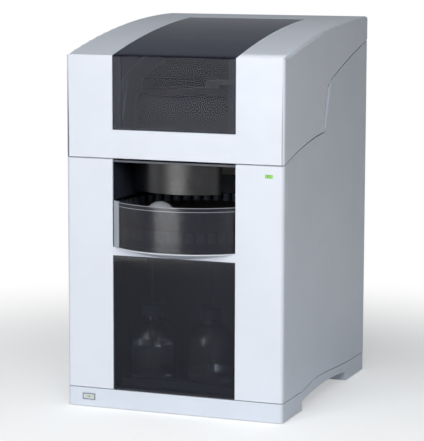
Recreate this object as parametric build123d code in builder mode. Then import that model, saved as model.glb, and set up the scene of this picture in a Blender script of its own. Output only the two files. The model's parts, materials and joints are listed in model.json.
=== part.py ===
from build123d import *
import os
from math import cos, radians, sin

# Capillary electrophoresis system, millimetres.
# X runs to the right, Y to the rear, Z up; the floor is Z = 0 and X = 0 is the middle plane.
# A depth d is counted from the flat front face towards the rear.

# Overall size
WIDTH = 350.0
DEPTH = 415.0
HEIGHT = 590.0
ROOF_DROP = 48.0  # the roof arc is this much lower at its front edge
REAR_PROUD = 14.0  # hose fittings stand out this far behind the rear panel

# Walls, gaps and clearances
SKIN = 3.0
SHEET = 2.0
SHUT_GAP = 2.0  # between hood and cabinet
SEAM = 1.2  # between fixed covers
FIT = 0.3  # a moving edge beside a fixed one
SLIP = 0.05  # radial clearance of a shaft that turns or slides
BOND = 0.1  # layer of tape or glue
CORNER_R = 5.0
ROOF_EDGE_R = 4.5

# Line where the hood meets the cabinet, seen from the side
SPLIT_FRONT_Z = 386.0
SPLIT_REAR_Z = 551.6
STEP_FOOT_D = 192.0
STEP_FOOT_RISE = 33.7
STEP_LEAN = 27.5
STEP_HEIGHT = 78.3
FRONT_BOW = 5.6
REAR_BOW = 2.3
STEP_R = 8.0
SCOOP_DEPTH = 5.0
SCOOP_R = 14.0

# Plinth
BASE_H = 30.0
FOOT_PROUD = 1.5
FOOT_PAD_R = 12.0
FOOT_PAD_INSET = 35.0
FRONT_FOOT_D = 92.0
REAR_FOOT_LEN = 97.0
ARCH_SPRING_Z = 15.5
ARCH_CROWN_Z = 22.9
HUMP_RISE = 7.4
HUMP_START_D = 85.0
HUMP_CREST_D = 165.0
HUMP_CREST_LEN = 10.0
HUMP_END_D = 350.0
PLINTH_WALL = 4.0
PLINTH_FLOOR = 3.5

# Front openings
OPENING_W = 198.0
RETURN_D = 13.0
CROSSBAR_Z = 239.0
CROSSBAR_D = 10.0
LEDGE_Z = 252.0
LEDGE_LIP = 1.5
HOOD_SILL_Z = 430.0
HOOD_WINDOW_D = 318.0
PANE = 3.0
PANE_GAP = 0.4
FLANGE_BAND = 13.0
FLANGE_LAP = 12.0
FLANGE_EDGE = 4.0
PANE_FOLD_R = 2.5

# Vial tray, its curved door and the shield above it
TRAY_AXIS_D = 104.0
DOOR_R = 140.0
DOOR_TOP_Z = 321.0
DOOR_LEFT_DEG = -46.0
DOOR_RIGHT_DEG = 50.0
GRIP_LEFT_DEG = -43.3
GRIP_RIGHT_DEG = -37.5
GRIP_PROUD = 2.5
GRIP_RISE = 2.0
TRAY_R = 134.0
TRAY_TOP_Z = 300.0
TRAY_PLATE = 6.0
TRAY_RIM_H = 16.0
VIAL_COUNT = 48
VIAL_RING_R = 124.0
VIAL_R = 5.9
VIAL_HOLE_CLEAR = 0.3
VIAL_LEN = 34.0
CAP_R = 6.7
CAP_H = 11.5
KNOB_R = 24.0
KNOB_RING_R = 91.0
KNOB_DEG = -18.0
KNOB_RISES_DEG = (0.0, 25.0, 50.0, 75.0)
SPINDLE_R = 5.0
HUB_R = 20.0
BEARING_H = 5.0
MOTOR_R = 30.0
SPINDLE_TAIL = 9.0
SOCKET_SIDES = 6
CAP_SIDES = 8
SHIELD_R = 100.0
SHIELD_BOTTOM_Z = 335.5
SHIELD_RIGHT_DEG = 41.5
SHIELD_LEFT_DEG = -100.0
BAY_R = 144.0
BAY_HALF_W = 102.0
BAY_CEILING_Z = 322.0

# Vial lifters
LIFT_DEG = 157.5
LIFT_ROD_R = 4.0
LIFT_HEAD_R = 5.5
LIFT_HEAD_H = 3.5
LIFT_GUIDE_R = 11.0
LIFT_GUIDE_LEN = 130.0
LIFT_MOTOR_W = 35.0
LIFT_MOTOR_H = 42.0

# Lower door
DOOR_T = 5.0
DOOR_SIDE_GAP = 0.6
DOOR_END_GAP = 1.5
PIN_R = 1.2
PIN_GRIP = 6.0

# Hood hinge
HINGE_X = 118.0
BARREL_R = 5.0
HINGE_RISE = 5.4
HINGE_PIN_R = 2.0
KNUCKLE = 14.0
KNUCKLE_SIDE = 11.0
LEAF_T = 2.0
LEAF_H = 24.0
REAR_PANEL_DROP = 5.6

# Inner frame
DECK_DROP = 2.0
DECK_T = 3.0
BULKHEAD_D = 256.0

# Cassette and what stands under the hood
HOUSING_HALF_W = 88.0
HOUSING_FRONT_D = 58.0
HOUSING_RAKE = 8.0
HOUSING_TOP_Z = 480.0
HOUSING_END_D = 246.0
CASSETTE_W = 118.0
CASSETTE_T = 25.0
CASSETTE_FIT = 0.6
CASSETTE_FLOOR = 4.0
CASSETTE_H = 92.0
CASSETTE_TAB_H = 13.0
CAPILLARY_R = 0.5
ELECTRODE_R = 1.5
ELECTRODE_WALL = 0.6
ELECTRODE_GAP = 10.0
ELECTRODE_BLOCK_Z = 345.0
REAR_HOUSING_D = 252.0
REAR_HOUSING_HALF_W = 158.0
REAR_HOUSING_FRONT_Z = 490.0
REAR_HOUSING_BACK_Z = 533.0
OPTICS_W = 96.0
OPTICS_D = 90.0
OPTICS_H = 66.0
LAMP_HOUSING_R = 22.0
LAMP_FINS = 4

# Bottles
BOTTLE_R = 36.0
BOTTLE_PITCH = 96.0
BOTTLE_MID_X = -10.6
BOTTLE_D = 60.0
BOTTLE_BODY_H = 67.0
BOTTLE_SHOULDER_H = 28.0
SHOULDER_RISES_DEG = (0.0, 30.0, 60.0, 90.0)
BOTTLE_NECK_R = 14.0
BOTTLE_NECK_H = 9.0
BOTTLE_WALL = 2.5
BOTTLE_CAP_R = 17.0
BOTTLE_CAP_H = 18.0
TUBE_R = 1.6
BOTTLE_BAY_D = 150.0
RACK_H = 12.0

# Front controls
BUTTON_X = -140.0
BUTTON_Z = 16.5
BUTTON_W = 21.0
BUTTON_H = 10.2
BUTTON_PROUD = 0.8
BUTTON_TRAVEL = 2.5
LAMP_X = 151.0
LAMP_Z = 370.0
LAMP_W = 12.0
LAMP_H = 5.1

# Rear
FAN_X = 85.0
FAN_Z = 250.0
FAN_SIZE = 80.0
FAN_DEPTH = 25.0
FAN_BLADES = 7
FAN_HUB_R = 16.0
FAN_SHAFT_R = 2.0
PSU_W = 110.0
PSU_H = 96.0
BOARD_W = 260.0
BOARD_H = 170.0
BOARD_STANDOFF = 6.0
MAINS_X = -120.0
MAINS_Z = 72.0
PORTS_X = -30.0
PORTS_Z = 72.0
GAS_X = 70.0
DRAIN_X = 120.0
HOSE_Z = 60.0
GAS_BORE_R = 2.0
DRAIN_R = 4.0
INLET_W = 27.0
INLET_H = 20.0
INLET_LAP = 6.0
PIN_PITCH = 7.0
PORTS_W = 96.0
PORTS_H = 34.0
PORT_LAP = 5.0
FITTING_R = 6.0
SCREW_R = 3.2
SCREW_HEAD = 1.8
SCREW_INSET = 22.0
SCREW_ROWS = 4

# Values that follow from the ones above
HALF_W = WIDTH / 2
OPENING = OPENING_W / 2
BULGE = DOOR_R + LEDGE_LIP - TRAY_AXIS_D
Y_FRONT = -(DEPTH + REAR_PROUD - BULGE) / 2
INNER_HALF = HALF_W - SKIN
WALL_FACE = INNER_HALF - SHEET
REAR_FACE_D = DEPTH - SKIN
ROOF_FRONT_Z = HEIGHT - ROOF_DROP
FLOOR_Z = BASE_H + SHEET
DECK_TOP_Z = SPLIT_FRONT_Z - DECK_DROP
DECK_BOTTOM_Z = DECK_TOP_Z - DECK_T
BAY_FLOOR_Z = LEDGE_Z - SKIN
AXIS_Y = Y_FRONT + TRAY_AXIS_D
HINGE_D = DEPTH - BARREL_R
HINGE_Z = SPLIT_REAR_Z + HINGE_RISE
REAR_PANEL_TOP_Z = SPLIT_REAR_Z - REAR_PANEL_DROP
LIFT_X = VIAL_RING_R * sin(radians(LIFT_DEG))
LIFT_D = TRAY_AXIS_D - VIAL_RING_R * cos(radians(LIFT_DEG))
DOOR_AXIS_X = -OPENING + DOOR_SIDE_GAP + DOOR_T / 2
DOOR_BOTTOM_Z = BASE_H + DOOR_END_GAP
DOOR_HEAD_Z = CROSSBAR_Z - DOOR_END_GAP
SCREW_X = INNER_HALF - 4 * SHEET
SCREW_PITCH = (REAR_PANEL_TOP_Z - BASE_H - 2 * SCREW_INSET) / (SCREW_ROWS - 1)
BIG = 2 * HEIGHT  # longer than anything it cuts

os.makedirs("parts", exist_ok=True)


def at(d, z):
    """A point of a side view, from its depth and its height."""
    return (Y_FRONT + d, z)


def around(radius, degrees, z=0.0):
    """A point around the tray's axis; the angle is counted from the front towards the right."""
    turn = radians(degrees)
    return (radius * sin(turn), AXIS_Y - radius * cos(turn), z)


def block(x, d, z, mode=Mode.ADD):
    """A straight block between two widths, two depths and two heights."""
    with BuildSketch(Plane.XY.offset(z[0])) as footprint:
        with Locations(((x[0] + x[1]) / 2, Y_FRONT + (d[0] + d[1]) / 2)):
            Rectangle(x[1] - x[0], d[1] - d[0])
    extrude(footprint.sketch, amount=z[1] - z[0], mode=mode)


def rod(x, d, z, radius, mode=Mode.ADD):
    """An upright round bar between two heights."""
    with BuildSketch(Plane.XY.offset(z[0])) as section:
        with Locations((x, Y_FRONT + d)):
            Circle(radius)
    extrude(section.sketch, amount=z[1] - z[0], mode=mode)


def bar(x, d, z, radius, sides, mode=Mode.ADD):
    """An upright bar with flat sides between two heights."""
    with BuildSketch(Plane.XY.offset(z[0])) as section:
        with Locations((x, Y_FRONT + d)):
            RegularPolygon(radius, sides)
    extrude(section.sketch, amount=z[1] - z[0], mode=mode)


def front_plane(d):
    """An upright plane at a depth, with X to the right, Z up and its normal towards the front."""
    return Plane(origin=(0, Y_FRONT + d, 0), x_dir=(1, 0, 0), z_dir=(0, -1, 0))


def sector(inner, outer, start_deg, end_deg):
    """A ring sector around the tray's axis, as a sketch on the floor plane."""
    with BuildSketch() as ring:
        with BuildLine():
            a = Line(around(inner, start_deg)[:2], around(outer, start_deg)[:2])
            b = ThreePointArc(a @ 1, around(outer, (start_deg + end_deg) / 2)[:2], around(outer, end_deg)[:2])
            c = Line(b @ 1, around(inner, end_deg)[:2])
            ThreePointArc(c @ 1, around(inner, (start_deg + end_deg) / 2)[:2], a @ 0)
        make_face()
    return ring.sketch


def split_ends(side):
    """The split line's corners, from just before the front: 1 for the hood's edge, -1 for the cabinet's."""
    shift = side * SHUT_GAP / 2
    foot_z = SPLIT_FRONT_Z + STEP_FOOT_RISE
    return (
        at(-SKIN, SPLIT_FRONT_Z + shift - SKIN / 4),
        at(STEP_FOOT_D - shift, foot_z + shift),
        at(STEP_FOOT_D + STEP_LEAN - shift, foot_z + STEP_HEIGHT + shift),
        at(DEPTH, SPLIT_REAR_Z + shift),
    )


def above_split(side, top_z):
    """Side view of all that lies above the split line, up to a height."""
    front, foot, head, rear = split_ends(side)
    with BuildSketch(Plane.YZ) as zone:
        with BuildLine():
            SagittaArc(front, foot, FRONT_BOW)
            Line(foot, head)
            SagittaArc(head, rear, REAR_BOW)
            Polyline(rear, at(DEPTH, top_z), at(-SKIN, top_z), front)
        make_face()
        fillet(zone.vertices().sort_by_distance((foot[0], foot[1], 0))[0], STEP_R)
        fillet(zone.vertices().sort_by_distance((head[0], head[1], 0))[0], STEP_R)
    return zone.sketch


def hull_profile(inset, foot_z):
    """Side view of the whole casing under the roof arc, drawn in by a wall thickness."""
    with BuildSketch(Plane.YZ) as casing:
        with BuildLine():
            TangentArc(at(DEPTH, HEIGHT), at(0, ROOF_FRONT_Z), tangent=(-1, 0))
            Polyline(at(0, ROOF_FRONT_Z), at(0, foot_z), at(DEPTH, foot_z), at(DEPTH, HEIGHT))
        make_face()
        if inset:
            offset(amount=-inset, kind=Kind.INTERSECTION)
    return casing.sketch


def window_zone(grow):
    """Side view of the part of the casing that the folded hood window takes up."""
    with BuildSketch(Plane.YZ) as zone:
        with BuildLine():
            Polyline(
                at(-SKIN, HOOD_SILL_Z - grow),
                at(HOOD_SILL_Z / 2, HOOD_SILL_Z - grow),
                at(HOOD_WINDOW_D + grow, ROOF_FRONT_Z - 2 * SKIN),
                at(HOOD_WINDOW_D + grow, HEIGHT + SKIN),
                at(-SKIN, HEIGHT + SKIN),
                close=True,
            )
        make_face()
    return zone.sketch


def base_outline():
    """Side view of the plinth: two feet, an arch between them and the hump along the top."""
    rear_foot = DEPTH - REAR_FOOT_LEN
    crest_z = BASE_H + HUMP_RISE
    with BuildSketch(Plane.YZ) as outline:
        with BuildLine():
            Line(at(0, BASE_H), at(HUMP_START_D, BASE_H))
            Spline(at(HUMP_START_D, BASE_H), at(HUMP_CREST_D, crest_z), tangents=((1, 0), (1, 0)))
            Line(at(HUMP_CREST_D, crest_z), at(HUMP_CREST_D + HUMP_CREST_LEN, crest_z))
            Spline(
                at(HUMP_CREST_D + HUMP_CREST_LEN, crest_z),
                at(HUMP_END_D, BASE_H),
                tangents=((1, 0), (1, 0)),
            )
            Polyline(
                at(HUMP_END_D, BASE_H),
                at(DEPTH, BASE_H),
                at(DEPTH, FOOT_PROUD),
                at(rear_foot, FOOT_PROUD),
                at(rear_foot, ARCH_SPRING_Z),
            )
            ThreePointArc(
                at(rear_foot, ARCH_SPRING_Z),
                at((rear_foot + FRONT_FOOT_D) / 2, ARCH_CROWN_Z),
                at(FRONT_FOOT_D, ARCH_SPRING_Z),
            )
            Polyline(at(FRONT_FOOT_D, ARCH_SPRING_Z), at(FRONT_FOOT_D, FOOT_PROUD), at(0, FOOT_PROUD), at(0, BASE_H))
        make_face()
    return outline.sketch


def keep(builder, name):
    """Label a finished piece and write it out."""
    builder.part.label = name
    export_step(builder.part, f"parts/{name}.step")


# Plinth: a moulded tray with two feet and a hand channel right across its underside
with BuildPart() as base_plinth:
    extrude(base_outline(), amount=HALF_W, both=True)
    fillet(base_plinth.edges().filter_by(Axis.Z).group_by(Axis.Y)[0], CORNER_R)
    fillet(base_plinth.edges().filter_by(Axis.Z).group_by(Axis.Y)[-1], SKIN)
    block((-INNER_HALF, INNER_HALF), (PLINTH_WALL, REAR_FACE_D), (BASE_H, BASE_H + 2 * HUMP_RISE), Mode.SUBTRACT)
    pocket_z = (FOOT_PROUD + PLINTH_FLOOR, BASE_H + HUMP_RISE)
    block((-INNER_HALF, INNER_HALF), (PLINTH_WALL, FRONT_FOOT_D - PLINTH_WALL), pocket_z, Mode.SUBTRACT)
    block(
        (-INNER_HALF, INNER_HALF),
        (DEPTH - REAR_FOOT_LEN + PLINTH_WALL, DEPTH - PLINTH_WALL),
        pocket_z,
        Mode.SUBTRACT,
    )
    with BuildSketch(front_plane(-SKIN)):
        with Locations((BUTTON_X, BUTTON_Z)):
            RectangleRounded(BUTTON_W + 2 * FIT, BUTTON_H + 2 * FIT, SKIN / 2 + FIT)
    extrude(amount=-SKIN - PLINTH_WALL - FIT, mode=Mode.SUBTRACT)
    rod(DOOR_AXIS_X, DOOR_T / 2, (BASE_H - PIN_GRIP, BASE_H + SKIN), PIN_R + SLIP / 2, Mode.SUBTRACT)
keep(base_plinth, "base_plinth")

with BuildPart() as foot_pads:
    with BuildSketch():
        with Locations((0, Y_FRONT + DEPTH / 2)):
            with GridLocations(WIDTH - 2 * FOOT_PAD_INSET, DEPTH - 2 * FOOT_PAD_INSET - PLINTH_WALL, 2, 2):
                Circle(FOOT_PAD_R)
    extrude(amount=FOOT_PROUD)
keep(foot_pads, "foot_pads")

# Front frame: two posts and a crossbar with the flared ledge under the tray door, wrapped around both corners
with BuildPart() as front_frame:
    ledge_foot_r = TRAY_AXIS_D
    with BuildSketch(Plane.XZ.offset(-AXIS_Y)):
        with BuildLine():
            Polyline(
                (TRAY_AXIS_D - CROSSBAR_D, CROSSBAR_Z),
                (ledge_foot_r, CROSSBAR_Z),
                (DOOR_R + LEDGE_LIP, LEDGE_Z - LEDGE_LIP),
                (DOOR_R + LEDGE_LIP, LEDGE_Z),
                (TRAY_AXIS_D - CROSSBAR_D, LEDGE_Z),
                close=True,
            )
        make_face()
    revolve(axis=Axis((0, AXIS_Y, 0), (0, 0, 1)))
    block((-BIG, BIG), (-2 * BULGE, CROSSBAR_D), (0, HEIGHT), Mode.INTERSECT)
    block((-BAY_HALF_W, BAY_HALF_W), (0, CROSSBAR_D), (CROSSBAR_Z, LEDGE_Z))
    with BuildSketch(Plane.XY.offset(BASE_H + SEAM)):
        with Locations((0, Y_FRONT + RETURN_D / 2)):
            Rectangle(WIDTH, RETURN_D)
        with Locations((0, Y_FRONT + SKIN + RETURN_D / 2)):
            Rectangle(WIDTH - 2 * SKIN, RETURN_D, mode=Mode.SUBTRACT)
    extrude(amount=SPLIT_FRONT_Z + RETURN_D - BASE_H)
    extrude(above_split(-1, HEIGHT), amount=BIG, both=True, mode=Mode.SUBTRACT)
    outer = front_frame.edges().filter_by(Axis.Z).filter_by(lambda e: abs(e.center().X) > HALF_W - SEAM)
    fillet(outer.filter_by(lambda e: e.center().Y < Y_FRONT + SEAM), CORNER_R)
    block((-OPENING, OPENING), (-SEAM, SKIN), (LEDGE_Z, HEIGHT), Mode.SUBTRACT)
    block((-OPENING, OPENING), (-SEAM, SKIN), (0, CROSSBAR_Z), Mode.SUBTRACT)
    with BuildSketch(front_plane(-SEAM)):
        with Locations((LAMP_X, LAMP_Z)):
            RectangleRounded(LAMP_W + FIT, LAMP_H + FIT, LAMP_H / 5)
    extrude(amount=-SKIN - 2 * SEAM, mode=Mode.SUBTRACT)
    rod(DOOR_AXIS_X, DOOR_T / 2, (CROSSBAR_Z - SEAM, CROSSBAR_Z + PIN_GRIP), PIN_R + SLIP / 2, Mode.SUBTRACT)
keep(front_frame, "front_frame")

# Side panels: skins between the plinth's hump and the hood's edge, with a lip behind the finger scoop
for side, name in ((-1, "left_side_panel"), (1, "right_side_panel")):
    with BuildPart() as side_panel:
        block(sorted((side * INNER_HALF, side * HALF_W)), (RETURN_D + SEAM, DEPTH), (FOOT_PROUD, HEIGHT))
        extrude(above_split(-1, HEIGHT + SKIN), amount=BIG, both=True, mode=Mode.SUBTRACT)
        extrude(base_outline().moved(Location((0, 0, SEAM))), amount=BIG, both=True, mode=Mode.SUBTRACT)
        block((-HALF_W, HALF_W), (0, DEPTH), (0, BASE_H + SEAM), Mode.SUBTRACT)
        rear_edge = side_panel.edges().filter_by(Axis.Z).sort_by(Axis.Y)[-2:]
        fillet(rear_edge.sort_by(lambda e: abs(e.center().X))[-1], SKIN / 2)
        foot, head = split_ends(-1)[1:3]
        slope = STEP_LEAN / STEP_HEIGHT
        low, high = foot[1] + STEP_R, head[1] - STEP_R
        with BuildSketch(Plane.YZ) as lip:
            with BuildLine():
                Polyline(
                    (foot[0] + slope * STEP_R, low),
                    (head[0] - slope * STEP_R, high),
                    (head[0] - slope * STEP_R + SKIN, high),
                    (foot[0] + slope * STEP_R + SKIN, low),
                    close=True,
                )
            make_face()
        extrude(lip.sketch.moved(Location((side * INNER_HALF, 0, 0))), amount=-side * 2 * SKIN)
    keep(side_panel, name)

# Rear panel: a plain skin with louvres, the fan outlet and the cut-outs of the connectors
with BuildPart() as rear_panel:
    block(
        (-INNER_HALF + FIT, INNER_HALF - FIT),
        (REAR_FACE_D, DEPTH),
        (BASE_H + SEAM, REAR_PANEL_TOP_Z),
    )
    louvre_h = 4.0
    louvre_pitch = 11.0
    with BuildSketch(front_plane(DEPTH)):
        with Locations((FAN_X, FAN_Z)):
            for row in range(-3, 4):
                half = (FAN_SIZE / 2) ** 2 - (row * louvre_pitch) ** 2
                with Locations((0, row * louvre_pitch)):
                    Rectangle(2 * half**0.5 - louvre_h, louvre_h)
        with Locations((-FAN_X, FAN_Z), (0, DECK_TOP_Z + FAN_SIZE)):
            with GridLocations(0, louvre_pitch, 1, 7):
                Rectangle(FAN_SIZE, louvre_h)
    extrude(amount=SKIN, mode=Mode.SUBTRACT)
    with BuildSketch(front_plane(DEPTH)):
        with Locations((MAINS_X, MAINS_Z)):
            Rectangle(INLET_W + FIT, INLET_H + FIT)
        with Locations((PORTS_X, PORTS_Z)):
            Rectangle(PORTS_W - 2 * PORT_LAP, PORTS_H - 2 * PORT_LAP)
        with Locations((GAS_X, HOSE_Z), (DRAIN_X, HOSE_Z)):
            Circle(FITTING_R + BOND)
    extrude(amount=SKIN, mode=Mode.SUBTRACT)
keep(rear_panel, "rear_panel")

# Hood: casing under the roof arc, open below, with a window opening and a finger scoop on each side
with BuildPart() as hood_shell:
    extrude(hull_profile(0, SPLIT_FRONT_Z - RETURN_D), amount=HALF_W, both=True)
    upright = hood_shell.edges().filter_by(Axis.Z)
    roof_sides = hood_shell.edges().filter_by(GeomType.CIRCLE)
    fillet(upright.group_by(Axis.Y)[0] + roof_sides, ROOF_EDGE_R)
    extrude(above_split(1, BIG), amount=BIG, both=True, mode=Mode.INTERSECT)
    extrude(hull_profile(SKIN, 0), amount=INNER_HALF, both=True, mode=Mode.SUBTRACT)
    foot, head = split_ends(1)[1:3]
    slope = STEP_LEAN / STEP_HEIGHT
    low, high = foot[1] + STEP_R, head[1] - STEP_R
    for side in (-1, 1):
        with BuildSketch(Plane.YZ.offset(side * (HALF_W - SCOOP_DEPTH - SHEET))) as backing:
            with BuildLine():
                Polyline(
                    (foot[0] + slope * STEP_R, low),
                    (head[0] - slope * STEP_R, high),
                    (head[0] - slope * STEP_R - SCOOP_R, high),
                    (foot[0] + slope * STEP_R - SCOOP_R, low),
                    close=True,
                )
            make_face()
        extrude(backing.sketch, amount=side * (SCOOP_DEPTH + SHEET - SKIN))
        scoop_x = side * (HALF_W + SCOOP_R - SCOOP_DEPTH)
        scoop_low = (scoop_x, foot[0] + slope * 2 * STEP_R, foot[1] + 2 * STEP_R)
        scoop_high = (scoop_x, head[0] - slope * 2 * STEP_R, head[1] - 2 * STEP_R)
        run = Vector(*scoop_high) - Vector(*scoop_low)
        with BuildSketch(Plane(origin=scoop_low, z_dir=run)) as scoop:
            Circle(SCOOP_R)
        extrude(scoop.sketch, amount=run.length, mode=Mode.SUBTRACT)
        with Locations(scoop_low, scoop_high):
            Sphere(SCOOP_R, mode=Mode.SUBTRACT)
    extrude(window_zone(0), amount=OPENING, both=True, mode=Mode.SUBTRACT)
    cut_w = KNUCKLE + 2 * KNUCKLE_SIDE + 2 * SEAM
    for x in (-HINGE_X, HINGE_X):
        block(
            (x - cut_w / 2, x + cut_w / 2),
            (REAR_FACE_D - SEAM, DEPTH + SEAM),
            (SPLIT_REAR_Z, HINGE_Z + BARREL_R + SEAM),
            Mode.SUBTRACT,
        )
keep(hood_shell, "hood_shell")

# Hood window: one smoked sheet folded over the front top edge, flush with the casing
with BuildPart() as hood_window:
    half = OPENING - PANE_GAP
    extrude(hull_profile(0, SPLIT_FRONT_Z), amount=half, both=True)
    extrude(hull_profile(PANE, 0), amount=BIG, both=True, mode=Mode.SUBTRACT)
    extrude(window_zone(-PANE_GAP), amount=half, both=True, mode=Mode.INTERSECT)
    front_top = hood_window.edges().filter_by(Axis.X).filter_by(lambda e: e.center().Z > ROOF_FRONT_Z - SEAM)
    fillet(front_top.sort_by(Axis.Y)[0], PANE_FOLD_R)
keep(hood_window, "hood_window")

# Window frame: the folded flange inside the hood that carries the pane
with BuildPart() as hood_window_frame:
    half = OPENING + FLANGE_LAP
    extrude(hull_profile(SKIN + BOND, 0), amount=half, both=True)
    extrude(hull_profile(SKIN + BOND + SHEET, 0), amount=BIG, both=True, mode=Mode.SUBTRACT)
    extrude(window_zone(FLANGE_LAP), amount=half, both=True, mode=Mode.INTERSECT)
    extrude(window_zone(-FLANGE_EDGE), amount=OPENING - FLANGE_BAND, both=True, mode=Mode.SUBTRACT)
keep(hood_window_frame, "hood_window_frame")

# Hinges: a middle knuckle on a fixed bracket, two knuckles on the hood's leaf and a pin through them
with BuildPart() as hood_hinge_brackets:
    for x in (-HINGE_X, HINGE_X):
        block(
            (x - KNUCKLE, x + KNUCKLE),
            (REAR_FACE_D - LEAF_T, REAR_FACE_D),
            (REAR_PANEL_TOP_Z - LEAF_H, REAR_PANEL_TOP_Z - LEAF_T),
        )
        block(
            (x - KNUCKLE / 2, x + KNUCKLE / 2),
            (REAR_FACE_D - LEAF_T, REAR_FACE_D),
            (REAR_PANEL_TOP_Z - LEAF_H, HINGE_Z),
        )
    for x in (-HINGE_X, HINGE_X):
        with BuildSketch(Plane.YZ.offset(x)) as knuckle:
            with Locations(at(HINGE_D, HINGE_Z)):
                Circle(BARREL_R)
        extrude(knuckle.sketch, amount=KNUCKLE / 2, both=True)
    with BuildSketch(Plane.YZ) as bore:
        with Locations(at(HINGE_D, HINGE_Z)):
            Circle(HINGE_PIN_R + SLIP / 2)
    extrude(bore.sketch, amount=BIG, both=True, mode=Mode.SUBTRACT)
keep(hood_hinge_brackets, "hood_hinge_brackets")

with BuildPart() as hood_hinge_leaves:
    outer = KNUCKLE / 2 + FIT + KNUCKLE_SIDE
    for x in (-HINGE_X, HINGE_X):
        block((x - outer, x + outer), (REAR_FACE_D - LEAF_T, REAR_FACE_D), (HINGE_Z + 2 * BARREL_R, HINGE_Z + LEAF_H))
        for side in (-1, 1):
            inner_x = x + side * (KNUCKLE / 2 + FIT)
            outer_x = x + side * outer
            block(sorted((inner_x, outer_x)), (REAR_FACE_D - LEAF_T, REAR_FACE_D), (HINGE_Z, HINGE_Z + LEAF_H))
            with BuildSketch(Plane.YZ.offset(inner_x)) as knuckle:
                with Locations(at(HINGE_D, HINGE_Z)):
                    Circle(BARREL_R)
            extrude(knuckle.sketch, amount=side * KNUCKLE_SIDE)
    with BuildSketch(Plane.YZ) as bore:
        with Locations(at(HINGE_D, HINGE_Z)):
            Circle(HINGE_PIN_R + SLIP)
    extrude(bore.sketch, amount=BIG, both=True, mode=Mode.SUBTRACT)
keep(hood_hinge_leaves, "hood_hinge_leaves")

with BuildPart() as hood_hinge_pins:
    for x in (-HINGE_X, HINGE_X):
        with BuildSketch(Plane.YZ.offset(x)) as pin:
            with Locations(at(HINGE_D, HINGE_Z)):
                Circle(HINGE_PIN_R)
        extrude(pin.sketch, amount=KNUCKLE / 2 + FIT + KNUCKLE_SIDE, both=True)
keep(hood_hinge_pins, "hood_hinge_pins")

# Chassis: folded sheet with a floor, two side walls and a bulkhead in front of the electronics
with BuildPart() as chassis:
    block((-INNER_HALF, INNER_HALF), (DOOR_T + SEAM, REAR_FACE_D), (BASE_H, FLOOR_Z))
    for side in (-1, 1):
        block(sorted((side * WALL_FACE, side * INNER_HALF)), (PLINTH_WALL, REAR_FACE_D), (BASE_H, DECK_BOTTOM_Z))
    block((-WALL_FACE, WALL_FACE), (BULKHEAD_D, BULKHEAD_D + SHEET), (BASE_H, DECK_BOTTOM_Z))
    with BuildSketch(front_plane(BULKHEAD_D)):
        with Locations((0, (FLOOR_Z + BAY_FLOOR_Z) / 2)):
            with GridLocations(WIDTH - 4 * HUB_R, 0, 2, 1):
                Rectangle(HUB_R, 2 * HUB_R)
    extrude(amount=-SHEET, mode=Mode.SUBTRACT)
    with BuildSketch(Plane.YZ):
        with Locations(at((BULKHEAD_D + REAR_FACE_D) / 2, (FLOOR_Z + DECK_BOTTOM_Z) / 2)):
            with GridLocations(0, 4 * HUB_R, 1, 3):
                Rectangle(4 * HUB_R, HUB_R)
    extrude(amount=BIG, both=True, mode=Mode.SUBTRACT)
keep(chassis, "chassis")

# Upper deck: the plate under the hood, with holes for the two electrodes and the hood's safety switch
with BuildPart() as upper_deck:
    block((-INNER_HALF + FIT, INNER_HALF - FIT), (SKIN + FIT, REAR_FACE_D), (DECK_BOTTOM_Z, DECK_TOP_Z))
    for side in (-1, 1):
        rod(side * LIFT_X, LIFT_D, (0, HEIGHT), 2 * ELECTRODE_R, Mode.SUBTRACT)
    switch_x = (WALL_FACE - 2 * CROSSBAR_D, WALL_FACE - CROSSBAR_D)
    block(switch_x, (2 * CROSSBAR_D, 4 * CROSSBAR_D), (DECK_TOP_Z, DECK_TOP_Z + CROSSBAR_D))
    chamfer(upper_deck.edges().filter_by(Axis.Y).group_by(Axis.Z)[-1], SEAM)
keep(upper_deck, "upper_deck")

# Tray bay: floor with a guide rib for the door, round wall, and the box above it
with BuildPart() as bay_floor:
    block((-WALL_FACE, WALL_FACE), (CROSSBAR_D, BULKHEAD_D), (BAY_FLOOR_Z, LEDGE_Z))
    extrude(
        sector(TRAY_R + SEAM, DOOR_R - PANE - PANE_GAP, DOOR_RIGHT_DEG, 360 + DOOR_LEFT_DEG).moved(
            Location((0, 0, LEDGE_Z))
        ),
        amount=SHEET,
    )
    rod(0, TRAY_AXIS_D, (0, HEIGHT), SPINDLE_R + SEAM, Mode.SUBTRACT)
    for side in (-1, 1):
        rod(side * LIFT_X, LIFT_D, (0, HEIGHT), LIFT_ROD_R + SEAM, Mode.SUBTRACT)
keep(bay_floor, "bay_floor")

with BuildPart() as bay_wall:
    ring = sector(BAY_R, BAY_R + SHEET, DOOR_RIGHT_DEG, 360 - DOOR_RIGHT_DEG)
    extrude(ring.moved(Location((0, 0, LEDGE_Z))), amount=BAY_CEILING_Z - LEDGE_Z)
keep(bay_wall, "bay_wall")

with BuildPart() as bay_shroud:
    bay_rear = TRAY_AXIS_D + BAY_R
    with BuildSketch(Plane.XY.offset(BAY_CEILING_Z)):
        with Locations((0, AXIS_Y)):
            Circle(BAY_R + SHEET)
        with Locations((0, AXIS_Y)):
            Rectangle(2 * BAY_HALF_W, BIG, mode=Mode.SUBTRACT)
        with Locations((0, Y_FRONT + SKIN + FIT - HEIGHT / 2)):
            Rectangle(BIG, HEIGHT, mode=Mode.SUBTRACT)
    extrude(amount=SHEET)
    for side in (-1, 1):
        wall_x = sorted((side * BAY_HALF_W, side * (BAY_HALF_W + SHEET)))
        block(wall_x, (SKIN + FIT, bay_rear), (BAY_CEILING_Z, DECK_BOTTOM_Z))
    block((-BAY_HALF_W - SHEET, BAY_HALF_W + SHEET), (bay_rear, bay_rear + SHEET), (BAY_CEILING_Z, DECK_BOTTOM_Z))
keep(bay_shroud, "bay_shroud")

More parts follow.
